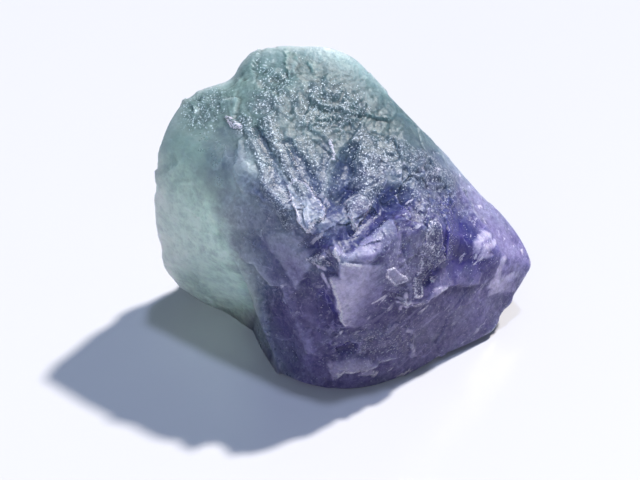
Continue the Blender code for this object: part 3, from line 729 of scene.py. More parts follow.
class NodeDesk:
    """Short ways to add nodes to one material's tree."""

    def __init__(self, tree: bpy.types.NodeTree) -> None:
        """Start work on a tree whose patterns are laid out in the object's own space."""
        self.tree = tree
        self.place = self.add("ShaderNodeTexCoord").outputs["Object"]

    def add(self, kind: str, **inputs: float | Colour | Socket) -> bpy.types.Node:
        """Add a node of a kind and fill its named inputs.

        Args:
            kind: The node's type name.
            inputs: For each input name, with _ for a blank, a value or a socket.

        Returns:
            The new node.
        """
        node = self.tree.nodes.new(kind)
        for name, value in inputs.items():
            self.fill(node.inputs[name.replace("_", " ")], value)
        return node

    def fill(self, socket: Socket, value: float | Colour | Socket) -> None:
        """Give one input a number, a colour, a direction or another node's output.

        Args:
            socket: The input to fill.
            value: What to put there.
        """
        if isinstance(value, bpy.types.NodeSocket):
            self.tree.links.new(value, socket)
        elif isinstance(value, tuple) and socket.type == "RGBA":
            socket.default_value = (*value, 1.0)
        else:
            socket.default_value = value

    def operate(self, node_kind: str, operation: str, *inputs: float | Colour | Socket) -> Socket:
        """Add a node that does one operation, and fill its inputs in their order.

        Args:
            node_kind: The node's type name.
            operation: Blender's name for the operation.
            inputs: Values or sockets, from the first input on.

        Returns:
            The node's first output.
        """
        node = self.add(node_kind)
        node.operation = operation
        for socket, value in zip(node.inputs, inputs):
            self.fill(socket, value)
        return node.outputs[0]

    def plus(self, first: float | Socket, second: float | Socket) -> Socket:
        """Add two numbers."""
        return self.operate("ShaderNodeMath", "ADD", first, second)

    def minus(self, first: float | Socket, second: float | Socket) -> Socket:
        """Take the second number from the first."""
        return self.operate("ShaderNodeMath", "SUBTRACT", first, second)

    def times(self, first: float | Socket, second: float | Socket) -> Socket:
        """Multiply two numbers."""
        return self.operate("ShaderNodeMath", "MULTIPLY", first, second)

    def shifted(self, start: Socket, way: Socket, amount: float | Socket) -> Socket:
        """Go an amount of one direction on from another.

        Args:
            start: The place or direction to start from.
            way: The direction to go in.
            amount: How many times that direction to go.

        Returns:
            The sum, start + amount x way.
        """
        node = self.add("ShaderNodeVectorMath")
        node.operation = "SCALE"
        self.fill(node.inputs[0], way)
        self.fill(node.inputs["Scale"], amount)
        return self.operate("ShaderNodeVectorMath", "ADD", start, node.outputs[0])

    def mark(self, name: str) -> Socket:
        """Read one of the mesh's own marks.

        Args:
            name: The attribute's name.

        Returns:
            Its value.
        """
        node = self.add("ShaderNodeAttribute")
        node.attribute_name = name
        return node.outputs["Fac"]

    def noise(self, scale: float, detail: float = 4.0, rough: float = 0.55) -> Socket:
        """Cloudy noise with about scale clouds to a metre."""
        return self.add("ShaderNodeTexNoise", Vector=self.place, Scale=scale, Detail=detail,
                        Roughness=rough).outputs["Fac"]

    def streaks(self, along: Colour, scale: float, stretch: float) -> Socket:
        """Noise drawn out along one direction.

        Args:
            along: The streaks' direction.
            scale: How many of them lie side by side in a metre.
            stretch: How many times longer than wide they are.

        Returns:
            The noise.
        """
        turned = self.add("ShaderNodeMapping", Vector=self.place)
        turned.vector_type = "TEXTURE"
        turned.inputs["Rotation"].default_value = Vector(along).to_track_quat("X", "Z").to_euler()
        turned.inputs["Scale"].default_value = (stretch, 1.0, 1.0)
        return self.add("ShaderNodeTexNoise", Vector=turned.outputs[0], Scale=scale, Detail=4.0,
                        Roughness=0.6).outputs["Fac"]

    def cells(self, scale: float) -> Socket:
        """Cells with about scale of them to a metre, each with a colour of its own."""
        return self.add("ShaderNodeTexVoronoi", Vector=self.place, Scale=scale).outputs["Color"]

    def fit(self, value: Socket, low: float, high: float, to_low: float | Socket = 0.0,
            to_high: float | Socket = 1.0) -> Socket:
        """Stretch the range from low to high onto another range, clamped at both ends."""
        return self.add("ShaderNodeMapRange", Value=value, From_Min=low, From_Max=high,
                        To_Min=to_low, To_Max=to_high).outputs["Result"]

    def blend(self, share: float | Socket, first: Colour | Socket, second: Colour | Socket,
              kind: str = "MIX") -> Socket:
        """Blend two colours by a share.

        Args:
            share: 0 keeps the first colour and 1 gives the second.
            first: A colour.
            second: Another colour.
            kind: Blender's name for the way of blending.

        Returns:
            The blended colour.
        """
        node = self.add("ShaderNodeMix")
        node.data_type = "RGBA"
        node.blend_type = kind
        for index, value in ((0, share), (6, first), (7, second)):
            self.fill(node.inputs[index], value)
        return node.outputs[2]

    def ramp(self, value: Socket, stops: Sequence[tuple[float, Colour]]) -> Socket:
        """Run a value through colours at stops from 0 to 1.

        Args:
            value: The value, from 0 to 1.
            stops: Places and colours, from 0 up to 1.

        Returns:
            The colour.
        """
        node = self.add("ShaderNodeValToRGB", Fac=value)
        elements = node.color_ramp.elements
        elements[-1].position = 1.0
        for position, _ in stops[1:-1]:
            elements.new(position)
        for element, (_, colour) in zip(elements, stops):
            element.color = (*colour, 1.0)
        return node.outputs["Color"]

    def tilt(self, normal: Socket, cells: Socket, amount: float | Socket) -> Socket:
        """Lean a normal by an amount of each cell's own direction, its colour less a half."""
        own = self.operate("ShaderNodeVectorMath", "SUBTRACT", cells, (0.5, 0.5, 0.5))
        return self.shifted(normal, own, amount)


@dataclass(frozen=True)
class Patterns:
    """How many clouds, streaks or cells of each pattern of the finish lie in a metre."""

    clouds: float = 330
    wisps: float = 900
    fibres: float = 2600
    grain: float = 4500
    salt: float = 1500
    blotches: float = 1700
    mottles: float = 620
    sloping: float = 2000
    steep: float = 1300
    cracks: float = 330
    crack_bends: float = 420
    crack_fields: float = 500
    flecks: float = 1100
    fleck_fields: float = 260
    unevenness: float = 1300
    coarse_facets: float = 1100
    fine_facets: float = 2500
    grains: float = 8500


@dataclass(frozen=True)
class Shares:
    """How much of the stone's colour each pattern and mark takes up at its strongest."""

    wisps: float = 0.30
    threads: float = 0.40
    fibres: float = 0.28
    sloping: float = 0.32
    steep: float = 0.30
    mottles: float = 0.50
    milk: float = 0.85
    # clear: how far clear stone is darkened, painted shade for its unlit inside
    clear: float = 0.85
    crushed: float = 0.72
    cracks: float = 0.45
    flecks: float = 0.75
    lines: float = 0.90
    blotches: tuple[float, float] = (0.04, 0.16)     # on smooth and on splintery stone
    # painted shade in hollows and painted light on raised points
    cavity_shade: tuple[float, float] = (0.10, 0.40)      # on smooth and on splintery stone


@dataclass(frozen=True)
class Fields:
    """What several steps of the finish read: the stone's marks, two noises and the grains."""

    frost: Socket
    mist: Socket
    clear: Socket
    rough: Socket
    top_shade: Socket
    zone: Socket
    grain: Socket
    clouds: Socket
    speck: Socket


@dataclass(frozen=True)
class FluoriteFinish:
    """The one finish of the stone: see-through fluorite, zoned from green to violet.

    A Pair is a colour where the stone is green and the same where it is violet, apart from
    the painted top shade's filter, whose two colours are for smooth and for splintery stone.
    """

    zones: tuple[tuple[float, Colour], ...] = (
        (0.0, (0.81, 1.00, 0.84)), (0.33, (0.30, 0.345, 0.385)), (0.60, (0.070, 0.105, 0.205)),
        (0.82, (0.046, 0.040, 0.160)), (1.0, (0.047, 0.034, 0.172)))
    pale: Pair = ((0.82, 1.00, 0.91), (0.49, 0.43, 0.77))
    # deep: the dark threads' colour, and the painted shade that clear stone is darkened to
    deep: Pair = ((0.05, 0.10, 0.14), (0.036, 0.030, 0.23))
    mottled: Pair = ((0.30, 0.42, 0.40), (0.03, 0.018, 0.15))
    milky: Pair = ((0.92, 0.87, 1.00), (0.86, 0.77, 1.00))
    crushed: Pair = ((0.045, 0.088, 0.095), (0.036, 0.034, 0.11))
    grains: Pair = ((0.65, 0.79, 0.84), (0.62, 0.62, 0.74))
    # painted shade on the lamp-lit top: a dark colour, a pale one and a filter
    top_shade_colour: Colour = (0.075, 0.125, 0.135)
    top_shade_pale: Colour = (0.24, 0.33, 0.345)
    top_shade_filter: Pair = ((0.84, 0.88, 0.88), (0.60, 0.71, 0.69))
    blotch: Colour = (0.65, 0.79, 0.84)
    glint: Colour = (0.92, 0.87, 1.00)
    transmission: float = 0.40
    ior: float = 1.434
    specular: float = 0.22
    absorption_colour: Colour = (0.74, 0.82, 0.86)
    absorption_density: float = 14.0
    glow_radius: Colour = (0.8, 1.0, 1.0)
    glow_depth: float = 0.018
    dark_depth: float = 0.004
    glitter: float = 0.06
    grain_roughness: float = 0.36
    satin: tuple[float, float] = (0.28, 0.42)
    clear_roughness: float = 0.20
    crack_swing: float = 0.0022
    cloud_swing: float = 0.17
    line_swing: float = 0.28
    patterns: Patterns = Patterns()
    shares: Shares = Shares()

    def material(self) -> bpy.types.Material:
        """Build the node material.

        Returns:
            The finished material.
        """
        material = bpy.data.materials.new("fluorite_finish")
        material.use_nodes = True
        tree = material.node_tree
        desk = NodeDesk(tree)
        fields = self.fields(desk)
        shader = tree.nodes["Principled BSDF"]
        shader.inputs["IOR"].default_value = self.ior
        shader.inputs["Specular IOR Level"].default_value = self.specular
        shader.inputs["Transmission Weight"].default_value = self.transmission
        shader.inputs["Subsurface Radius"].default_value = self.glow_radius
        satin = desk.fit(fields.clouds, 0.35, 0.65, *self.satin)
        satin = desk.fit(fields.clear, 0.0, 1.0, satin, self.clear_roughness)
        hard = desk.times(fields.speck, desk.fit(fields.rough, 0.1, 0.5))
        glow = desk.times(desk.fit(fields.rough, 0.0, 1.0, 1.0, 0.40),
                          desk.fit(hard, 0.0, 1.0, 1.0, 0.0))
        dressed = {
            "Base Color": self.colour(desk, fields),
            "Roughness": desk.fit(fields.speck, 0.0, 1.0, satin, self.grain_roughness),
            "Subsurface Weight": glow,
            "Subsurface Scale": desk.fit(fields.zone, 0.2, 0.8, self.glow_depth, self.dark_depth),
            "Metallic": desk.times(hard, self.glitter),
            "Normal": self.normal(desk, fields),
        }
        for name, value in dressed.items():
            desk.fill(shader.inputs[name], value)
        absorb = desk.add("ShaderNodeVolumeAbsorption", Color=self.absorption_colour,
                          Density=self.absorption_density)
        desk.fill(tree.nodes["Material Output"].inputs["Volume"], absorb.outputs[0])
        return material

    def fields(self, desk: NodeDesk) -> Fields:
        """Read the marks, and scatter pale grains over the crushed parts.

        A cell is a grain where its luck is above a chance that falls as the frost rises.  A
        second luck says how bright the grain is.

        Args:
            desk: The material's desk.

        Returns:
            What the steps of the finish read.
        """
        names = ("frost", "mist", "clear", "rough", "top_shade", "zone")
        marks = {name: desk.mark(name) for name in names}
        salt = desk.fit(desk.noise(self.patterns.salt, 3), 0.36, 0.62, 0.35, 1.0)
        lucks = desk.add("ShaderNodeSeparateColor", Color=desk.cells(self.patterns.grains))
        chance = desk.plus(desk.times(desk.times(marks["frost"], salt), -0.50),
                           desk.fit(marks["zone"], 0.4, 0.9, 1.00, 0.965))
        speck = desk.times(desk.fit(desk.minus(lucks.outputs[0], chance), 0.0, 0.03),
                           desk.fit(lucks.outputs[1], 0.0, 0.9, 0.22, 0.85))
        return Fields(**marks, speck=speck, grain=desk.noise(self.patterns.grain, 2.0, 0.6),
                      clouds=desk.noise(self.patterns.clouds, 6, 0.62))

    def colour(self, desk: NodeDesk, fields: Fields) -> Socket:
        """Lay the colours one over another, from the stone's own to its bright edges.

        Args:
            desk: The material's desk.
            fields: What the steps of the finish read.

        Returns:
            The base colour.
        """
        swing = desk.fit(fields.clouds, 0.3, 0.7, -self.cloud_swing, self.cloud_swing)
        zone = desk.plus(fields.zone, swing)
        # painted shade: the lamp-lit top is darkened here, in the pale colour, the colour and a
        # filter
        pale = desk.blend(fields.top_shade, desk.blend(zone, *self.pale), self.top_shade_pale)
        wisps = desk.noise(self.patterns.wisps, 6, 0.65)
        fibres = desk.noise(self.patterns.fibres, 4, 0.7)
        colour = desk.blend(fields.top_shade, desk.ramp(zone, self.zones), self.top_shade_colour)
        colour = desk.blend(desk.fit(wisps, 0.42, 0.72, 0.0, self.shares.wisps), colour, pale)
        colour = self.traced(desk, fields, colour, zone, pale, fibres)
        veil = desk.times(fields.mist, desk.fit(wisps, 0.36, 0.60, 0.60, 1.0))
        veil = desk.times(veil, desk.fit(fibres, 0.40, 0.58, 0.72, 1.0))
        milk = desk.fit(fields.mist, 0.4, 1.0, 0.0, self.shares.milk)
        colour = desk.blend(veil, colour, desk.blend(milk, pale, desk.blend(zone, *self.milky)))
        colour = desk.blend(fields.top_shade, colour, desk.blend(fields.rough, *self.top_shade_filter),
                            "MULTIPLY")
        colour = desk.blend(desk.times(fields.frost, self.shares.crushed), colour,
                            desk.blend(zone, *self.crushed))
        colour = desk.blend(fields.speck, colour, desk.blend(zone, *self.grains))
        colour = desk.blend(self.cracks(desk), colour, pale)
        colour = desk.blend(self.flecks(desk, zone), colour, self.glint)
        swing = desk.fit(fields.grain, 0.3, 0.7, -self.line_swing, self.line_swing)
        line = desk.fit(desk.plus(desk.mark("line"), swing), 0.66, 0.86, 0.0, self.shares.lines)
        return desk.blend(line, colour, self.glint)

    def traced(self, desk: NodeDesk, fields: Fields, colour: Socket, zone: Socket, pale: Socket,
               fibres: Socket) -> Socket:
        """Lay fibres, cleavage traces, blotches, painted shade on clear stone and mottles,
        and painted shade in hollows with painted light on raised points.

        Args:
            desk: The material's desk.
            fields: What the steps of the finish read.
            colour: The colour so far.
            zone: How violet the stone is, with its clouds.
            pale: The stone's pale colour.
            fibres: The fibres' noise.

        Returns:
            The colour with these over it.
        """
        deep = desk.blend(zone, *self.deep)
        shares = self.shares
        threads = desk.times(desk.fit(fibres, 0.50, 0.30, 0.0, shares.threads),
                             desk.fit(zone, 0.1, 0.6, 0.45, 1.0))
        colour = desk.blend(threads, colour, deep)
        colour = desk.blend(desk.fit(fibres, 0.50, 0.70, 0.0, shares.fibres), colour, pale)
        sloping = desk.streaks(SLOPING, self.patterns.sloping, 8)
        colour = desk.blend(desk.fit(sloping, 0.55, 0.66, 0.0, shares.sloping), colour, pale)
        steep = desk.streaks(STEEP, self.patterns.steep, 8)
        colour = desk.blend(desk.fit(steep, 0.55, 0.72, 0.0, shares.steep), colour, pale)
        blotches = desk.times(desk.fit(desk.noise(self.patterns.blotches, 3, 0.6), 0.50, 0.66),
                              desk.fit(fields.rough, 0.0, 1.0, *shares.blotches))
        colour = desk.blend(blotches, colour, self.blotch)
        # painted shade: clear stone darkened towards the deep colour
        colour = desk.blend(desk.times(fields.clear, shares.clear), colour, deep)
        mottles = desk.noise(self.patterns.mottles, 7, 0.72)
        mottles = desk.times(desk.fit(mottles, 0.54, 0.38, 0.0, shares.mottles),
                             desk.fit(zone, 0.1, 0.6, 1.0, 0.8))
        colour = desk.blend(mottles, colour, desk.blend(zone, *self.mottled))
        # painted shade in hollows and painted light on raised points, strongest on splintery stone
        shade = desk.times(desk.mark("cavity"), desk.fit(fields.rough, 0.0, 1.0, *shares.cavity_shade))
        shade = desk.plus(shade, 1.0)
        grey = desk.add("ShaderNodeCombineColor", Red=shade, Green=shade, Blue=shade).outputs[0]
        return desk.blend(1.0, colour, grey, "MULTIPLY")

    def cracks(self, desk: NodeDesk) -> Socket:
        """Find the fine cracks: the rims of cells whose places are bent by broad noise.

        Args:
            desk: The material's desk.

        Returns:
            The cracks' share of the colour.
        """
        bends = desk.add("ShaderNodeTexNoise", Vector=desk.place, Detail=3.0,
                         Scale=self.patterns.crack_bends)
        bent = desk.shifted(desk.place, bends.outputs["Color"], self.crack_swing)
        rims = desk.add("ShaderNodeTexVoronoi", Vector=bent, Scale=self.patterns.cracks)
        rims.feature = "DISTANCE_TO_EDGE"
        where = desk.noise(self.patterns.crack_fields, 4)
        return desk.times(desk.fit(rims.outputs["Distance"], 0.030, 0.005),
                          desk.fit(where, 0.52, 0.62, 0.0, self.shares.cracks))

    def flecks(self, desk: NodeDesk, zone: Socket) -> Socket:
        """Find the short bright flecks that lie in fields on the violet stone.

        Args:
            desk: The material's desk.
            zone: How violet the stone is, with its clouds.

        Returns:
            The flecks' share of the colour.
        """
        flecks = desk.fit(desk.streaks(SLOPING, self.patterns.flecks, 3), 0.61, 0.65)
        where = desk.noise(self.patterns.fleck_fields, 2)
        share = desk.fit(where, 0.47, 0.60, 0.0, self.shares.flecks)
        return desk.times(desk.times(flecks, share), desk.fit(zone, 0.45, 0.7))

    def normal(self, desk: NodeDesk, fields: Fields) -> Socket:
        """Lay the fine relief: soft unevenness, broken facets and sparkling grains.

        Args:
            desk: The material's desk.
            fields: What the steps of the finish read.

        Returns:
            The normal to shade with.
        """
        soft = desk.add("ShaderNodeBump", Strength=0.55, Distance=0.00025,
                        Height=desk.noise(self.patterns.unevenness, 6, 0.62))
        fine = desk.add("ShaderNodeBump", Strength=0.5, Distance=0.0001,
                        Height=desk.times(fields.grain, fields.speck), Normal=soft.outputs[0])
        broken = desk.times(desk.fit(fields.rough, 0.0, 1.0, 0.03, 0.28),
                            desk.fit(fields.clear, 0.0, 1.0, 1.0, 0.4))
        turn = desk.times(desk.fit(fields.speck, 0.0, 1.0, 0.02, 0.7),
                          desk.fit(fields.rough, 0.0, 0.5, 0.35, 1.0))
        normal = fine.outputs[0]
        for scale, amount in ((self.patterns.coarse_facets, desk.times(broken, 0.35)),
                              (self.patterns.fine_facets, desk.times(broken, 0.6)),
                              (self.patterns.grains, turn)):
            normal = desk.tilt(normal, desk.cells(scale), amount)
        return desk.operate("ShaderNodeVectorMath", "NORMALIZE", normal)


# ---------------------------------------------------------------- the stone


@dataclass(frozen=True)
class Zoning:
    """Colour zones that follow two growth planes and turn a corner where they meet.

    Each plane is (offset, per millimetre right, per millimetre up) on the front sheet.  The
    low prow has a share more, in past prow_left and below prow_top, so that it is dark right
    up to its left edge.
    """

    side_plane: tuple[float, float, float] = (1.45, 0.125, 0.031)
    top_plane: tuple[float, float, float] = (1.05, 0.0158, -0.034)
    softness: float = 0.12
    prow_share: float = 0.30
    prow_left: tuple[float, float] = (-10.4, -8.8)
    prow_top: tuple[float, float] = (4.0, 0.5)

    def share(self, points: np.ndarray) -> np.ndarray:
        """How far along from green to violet: the soft least of the two planes' values.

        Args:
            points: Points on the front sheet.

        Returns:
            A value from 0 to 1.
        """
        side, top = (
            plane[0] + points @ np.array(plane[1:]) for plane in (self.side_plane, self.top_plane))
        gap = np.clip(0.5 + 0.5 * (top - side) / self.softness, 0.0, 1.0)
        least = top + (side - top) * gap - self.softness * gap * (1.0 - gap)
        across, upward = points.T
        prow = smooth(*self.prow_left, across) * smooth(*self.prow_top, upward)
        return np.clip(least + self.prow_share * prow, 0.0, 1.0)


@dataclass(frozen=True)
class Bend:
    """Lump fields that bend places before something is laid over them."""

    amount: float
    size: float
    seed: int

    def field(self, places: np.ndarray, count: int) -> np.ndarray:
        """How far each place is bent in each of count directions, in millimetres."""
        return self.amount * waver(places, self.size, self.seed, count)


@dataclass(frozen=True)
class ChipLayer:
    """Chips of one size, with how much of their height shows on smooth and on loose stone."""

    size: float
    seed: int
    tilt: float
    bend: Bend
    smooth_share: float
    loose_share: float

    def relief(self, places: np.ndarray, loose: np.ndarray) -> tuple[np.ndarray, np.ndarray]:
        """Lay the chips over bent places.

        Args:
            places: Points in millimetres.
            loose: How loose the stone is, from 0 to 1.

        Returns:
            The height in millimetres, chips x (smooth share + loose share x loose), and
            each chip's own number from 0 to 1.
        """
        bent = places + self.bend.field(places, 3)
        height, own = chips(bent, self.size, self.seed, self.tilt)
        return height * (self.smooth_share + self.loose_share * loose), own


@dataclass(frozen=True)
class Spokes:
    """Splinters of one size in the fan: how many to a radian, how long and how deep.

    The layer is the height at which they are cut out of their field of lumps.
    """

    count: float
    length: float
    depth: float
    layer: float
    seed: int

    def grooves(self, angle: np.ndarray, distance: np.ndarray) -> np.ndarray:
        """How deep the grooves between the splinters are.

        The lumps are laid out over the angle and the distance and taken without their sign,
        so a sharp crest stands wherever they cross zero.

        Args:
            angle: Angles round the fan's middle in radians.
            distance: Distances from it in millimetres.

        Returns:
            The depth in millimetres.
        """
        laid = np.column_stack(
            [angle * self.count, distance / self.length, np.full(len(angle), self.layer)])
        return self.depth * np.abs(lumps(laid, 1.0, self.seed))


@dataclass
class FluoriteChunk:
    """The broken stone: its heart, its hull, its lumps and chips, and its painted top shade.

    Each row of the notch is a plane: its outward direction, and its distance along that
    from the origin of the corners.  The pairs of numbers are ranges that something rises
    over, apart from the fan's middle, which is a point of the front sheet.
    """

    finish: FluoriteFinish
    zoning: Zoning = Zoning()
    grid_steps: int = 128
    crowding: float = 0.45
    heart: tuple[float, float, float] = (-0.5, -0.5, 11.0)
    middle_of_base: tuple[float, float, float] = (-0.01, -0.16, 0.0)
    edge_sharpness: float = 110.0
    notch: tuple[tuple[float, float, float, float], ...] = (
        (-0.511, -0.860, -0.42, 6.50), (-0.967, -0.254, -0.30, 9.30))
    sink: float = 2.0
    sink_steepness: tuple[float, float] = (0.60, 0.80)
    swell: float = 0.35
    back_roughness: float = 0.35
    rough_rim: tuple[float, float] = (-1.0, 1.2)
    chip_layers: tuple[ChipLayer, ...] = (
        ChipLayer(4.2, 21, 0.16, Bend(0.25, 1.5, 61), 0.17, 0.25),
        ChipLayer(1.7, 31, 0.26, Bend(0.25, 1.5, 61), 0.05, 0.15),
        ChipLayer(0.75, 41, 0.35, Bend(0.10, 0.5, 81), 0.02, 0.11))
    drawing_bends: tuple[Bend, ...] = (Bend(0.34, 1.6, 501), Bend(0.15, 0.6, 503))
    zone_bend: Bend = Bend(0.8, 4.0, 91)
    fan_middle: tuple[float, float] = (-2.6, 10.2)
    fan_share: float = 0.6
    fan_crest: float = 0.10
    fan_start: tuple[float, float] = (1.0, 4.0)
    fan_foot: tuple[float, float] = (-1.0, 1.5)
    fan_spokes: tuple[Spokes, ...] = (
        Spokes(14.0, 4.0, 0.20, 0.0, 640), Spokes(31.0, 2.0, 0.08, 3.0, 641))
    crushed: float = 0.24
    # painted shade on the lamp-lit top: its strength, more to the right, and where it rises
    top_shade: float = 0.68
    more_top_shade: float = 0.30
    top_shade_rise: tuple[float, float] = (12.0, 22.0)
    top_shade_across: tuple[float, float] = (-14.0, 0.0)
    cavity_depth: float = 0.05
    sharp_from: float = 30.0

    def rays_and_faces(self) -> tuple[np.ndarray, np.ndarray]:
        """Spread the two parameters s, t of six square grids over a ball.

        Each ray is axis + tan(pi s / 4) right + tan(pi t / 4) up, brought to length 1, for
        s and t from -1 to 1.  The grids' shared rims are welded.  The crowding times the front
        sheet's direction is then added to each ray, so that more of them look to the front.

        Returns:
            Rays of length 1, and the four corner numbers of each face, facing out.
        """
        step = np.tan(np.linspace(-1.0, 1.0, self.grid_steps + 1) * np.pi / 4)
        right, up = (side.ravel() for side in np.meshgrid(step, step, indexing="ij"))
        number = np.arange(right.size).reshape(step.size, step.size)
        quads = np.stack(
            [number[:-1, :-1], number[1:, :-1], number[1:, 1:], number[:-1, 1:]], -1)
        rays, faces = [], []
        for axis in range(3):
            for sign in (-1.0, 1.0):
                grid = np.empty((right.size, 3))
                grid[:, axis] = sign
                grid[:, (axis + 1) % 3] = right
                grid[:, (axis + 2) % 3] = up
                facing_out = quads.reshape(-1, 4)[:, :: int(sign)]
                faces.append(facing_out + len(rays) * right.size)
                rays.append(grid)
        spots = np.concatenate(rays)
        _, first, place = np.unique(
            np.round(spots * 1e6).astype(np.int64), axis=0, return_index=True,
            return_inverse=True)
        spots = spots[first]
        welded = place.reshape(-1)[np.concatenate(faces)]
        even = spots / np.linalg.norm(spots, axis=1, keepdims=True)
        crowded = even + self.crowding * Side.FRONT.value.outward
        return crowded / np.linalg.norm(crowded, axis=1, keepdims=True), welded

    def hull_planes(self) -> tuple[np.ndarray, np.ndarray]:
        """Find the faces of the convex hull of the stone's corners.

        Returns:
            Each face's outward normal, and its distance from the heart.
        """
        hull = bmesh.new()
        for corner in CORNERS:
            hull.verts.new(np.array(corner) - self.heart)
        bmesh.ops.convex_hull(hull, input=hull.verts)
        bmesh.ops.recalc_face_normals(hull, faces=hull.faces)
        normals = np.array([face.normal[:] for face in hull.faces])
        touching = np.array([face.verts[0].co[:] for face in hull.faces])
        hull.free()
        return normals, (normals * touching).sum(1)

    def hull_distance(self, rays: np.ndarray) -> np.ndarray:
        """Distance along each ray to the hull, with softened edges.

        The distance is 1 over the p-norm of (ray . normal / plane distance), taken over
        the hull's faces and the notch, with the edge sharpness as p.  The notch takes the
        less of its two planes' values, so only what lies beyond both planes is left out.

        Args:
            rays: Directions of length 1.

        Returns:
            Distances from the heart in millimetres.
        """
        normals, distances = self.hull_planes()
        nearness = np.clip(rays @ normals.T, 0.0, None) / distances
        notch = np.array(self.notch)
        cut = (rays @ notch[:, :3].T) / (notch[:, 3] - notch[:, :3] @ np.array(self.heart))
        nearness = np.column_stack([nearness, np.clip(cut.min(axis=1), 0.0, None)])
        nearest = nearness.max(axis=1)
        share = nearness / nearest[:, None]
        power = self.edge_sharpness
        return 1.0 / (nearest * (share**power).sum(1) ** (1.0 / power))

    def drawn(self, places: np.ndarray, rays: np.ndarray) -> tuple[np.ndarray, Marks]:
        """Add up everything that is drawn on the two sheets.

        Args:
            places: Points of the hull in millimetres.
            rays: Their directions from the heart.

        Returns:
            Height in millimetres, and the frost, mist, clear and line marks from 0 to 1.
        """
        bent = sum(bend.field(places, 2) for bend in self.drawing_bends)
        marks = {name: np.zeros(len(rays)) for name in ("frost", "mist", "clear", "line")}
        height = np.zeros(len(rays))
        for feature in FEATURES:
            sheet = feature.side.value
            strength = sheet.strength(rays)
            cover = feature.cover(sheet.points(places) + bent)
            height += strength * cover.height
            np.maximum(marks["line"], strength * cover.line, out=marks["line"])
            if feature.tone is not Tone.NONE:
                mark = marks[feature.tone.value]
                np.maximum(mark, strength * cover.toned, out=mark)
        return height, marks

    def fan(self, places: np.ndarray, rays: np.ndarray) -> np.ndarray:
        """Splinters that run out like a fan from one point of the front sheet.

        The height is the fan's crest less the grooves between broad and narrow splinters,
        away from its middle and not below it.

        Args:
            places: Points of the hull in millimetres.
            rays: Their directions from the heart.

        Returns:
            Height in millimetres.
        """
        front = Side.FRONT.value
        points = front.points(places) - np.array(self.fan_middle)
        angle = np.arctan2(points[:, 0], points[:, 1])
        distance = np.hypot(*points.T)
        inside = smooth(*self.fan_start, distance) * smooth(*self.fan_foot, points[:, 1])
        height = np.full(len(rays), self.fan_crest)
        for spokes in self.fan_spokes:
            height -= spokes.grooves(angle, distance)
        return front.strength(rays) * inside * height

    def surface(self, rays: np.ndarray) -> tuple[np.ndarray, Marks]:
        """Work out the stone's surface and its marks.

        The distance is the hull's, plus what is drawn, a broad swelling of lumps, three
        sizes of chips, the fan and a sink for rays that run steeply down.

        Args:
            rays: Directions of length 1.

        Returns:
            Distances from the heart in millimetres, and the marks that the finish reads.
        """
        front = Side.FRONT.value
        distance = self.hull_distance(rays)
        places = np.array(self.heart) + distance[:, None] * rays
        height, marks = self.drawn(places, rays)
        rough = self.roughness(places, rays)
        loose = rough * (1.0 - 0.6 * np.maximum(marks["frost"], marks["clear"]))
        height += self.swell * (lumps(places, 9.0, 11) + 0.5 * lumps(places + 3.7, 4.5, 28))
        for layer in self.chip_layers:
            relief, own = layer.relief(places, loose)
            height += relief
        height += self.fan_share * loose * self.fan(places, rays)
        height += self.sink * smooth(*self.sink_steepness, -rays[:, 2])
        # own now holds the smallest chips' numbers, which say which of them are crushed
        crushed = rough * smooth(0.45, 1.0, 0.8 * own + 0.7 * lumps(places, 1.6, 95))
        kept = marks["frost"] * (1.0 - 0.7 * marks["clear"])
        marks["frost"] = np.maximum(kept, self.crushed * crushed)
        marks["rough"] = rough
        # painted shade that darkens the lamp-lit top
        marks["top_shade"] = self.top_shading(front.points(places))
        marks["zone"] = self.zoning.share(front.points(places) + self.zone_bend.field(places, 2))
        return distance + height, marks

    def roughness(self, places: np.ndarray, rays: np.ndarray) -> np.ndarray:
        """How splintery the stone is: the rough field in front, and evenly so behind.

        Args:
            places: Points of the hull in millimetres.
            rays: Their directions from the heart.

        Returns:
            The roughness from 0 to 1.
        """
        front = Side.FRONT.value
        facing_front = front.strength(rays)
        field = smooth(*self.rough_rim, depth_inside(front.points(places), ROUGH_FIELD))
        return facing_front * field + (1.0 - facing_front) * self.back_roughness

    def top_shading(self, points: np.ndarray) -> np.ndarray:
        """Painted shade on the lamp-lit top: it rises up the front sheet, more so to the right.

        Args:
            points: Points on the front sheet.

        Returns:
            The painted shade's share from 0 to 1.
        """
        across, upward = points.T
        more = self.more_top_shade * smooth(*self.top_shade_across, across)
        return smooth(*self.top_shade_rise, upward) * (self.top_shade + more)

    def grounded(self, rays: np.ndarray, reach: np.ndarray) -> np.ndarray:
        """Turn distances into points, and stop every ray at the floor.

        Args:
            rays: Directions of length 1.
            reach: Distances from the heart in millimetres.

        Returns:
            Points in millimetres, with the middle of the base at the origin.
        """
        to_floor = -self.heart[2] / np.minimum(rays[:, 2], -1e-6)
        stopped = np.where(rays[:, 2] < 0.0, np.minimum(reach, to_floor), reach)
        points = np.array(self.heart) + stopped[:, None] * rays
        points[(rays[:, 2] < 0.0) & (reach >= to_floor), 2] = 0.0
        return points - np.array(self.middle_of_base)

    def cavity(self, reach: np.ndarray, faces: np.ndarray) -> np.ndarray:
        """How far each point stands out from its neighbours, from -1 to 1.

        Args:
            reach: Distances from the heart in millimetres.
            faces: Corner numbers of the faces.

        Returns:
            The difference from the mean of two rings of neighbours, over the cavity depth,
            clamped.
        """
        mean = reach
        for _ in range(2):
            total = np.zeros(len(reach))
            count = np.zeros(len(reach))
            for turn in (1, 3):
                beside = np.roll(mean[faces], turn, 1)
                total += np.bincount(faces.ravel(), beside.ravel(), len(reach))
                count += np.bincount(faces.ravel(), minlength=len(reach))
            mean = total / count
        return np.clip((reach - mean) / self.cavity_depth, -1.0, 1.0)

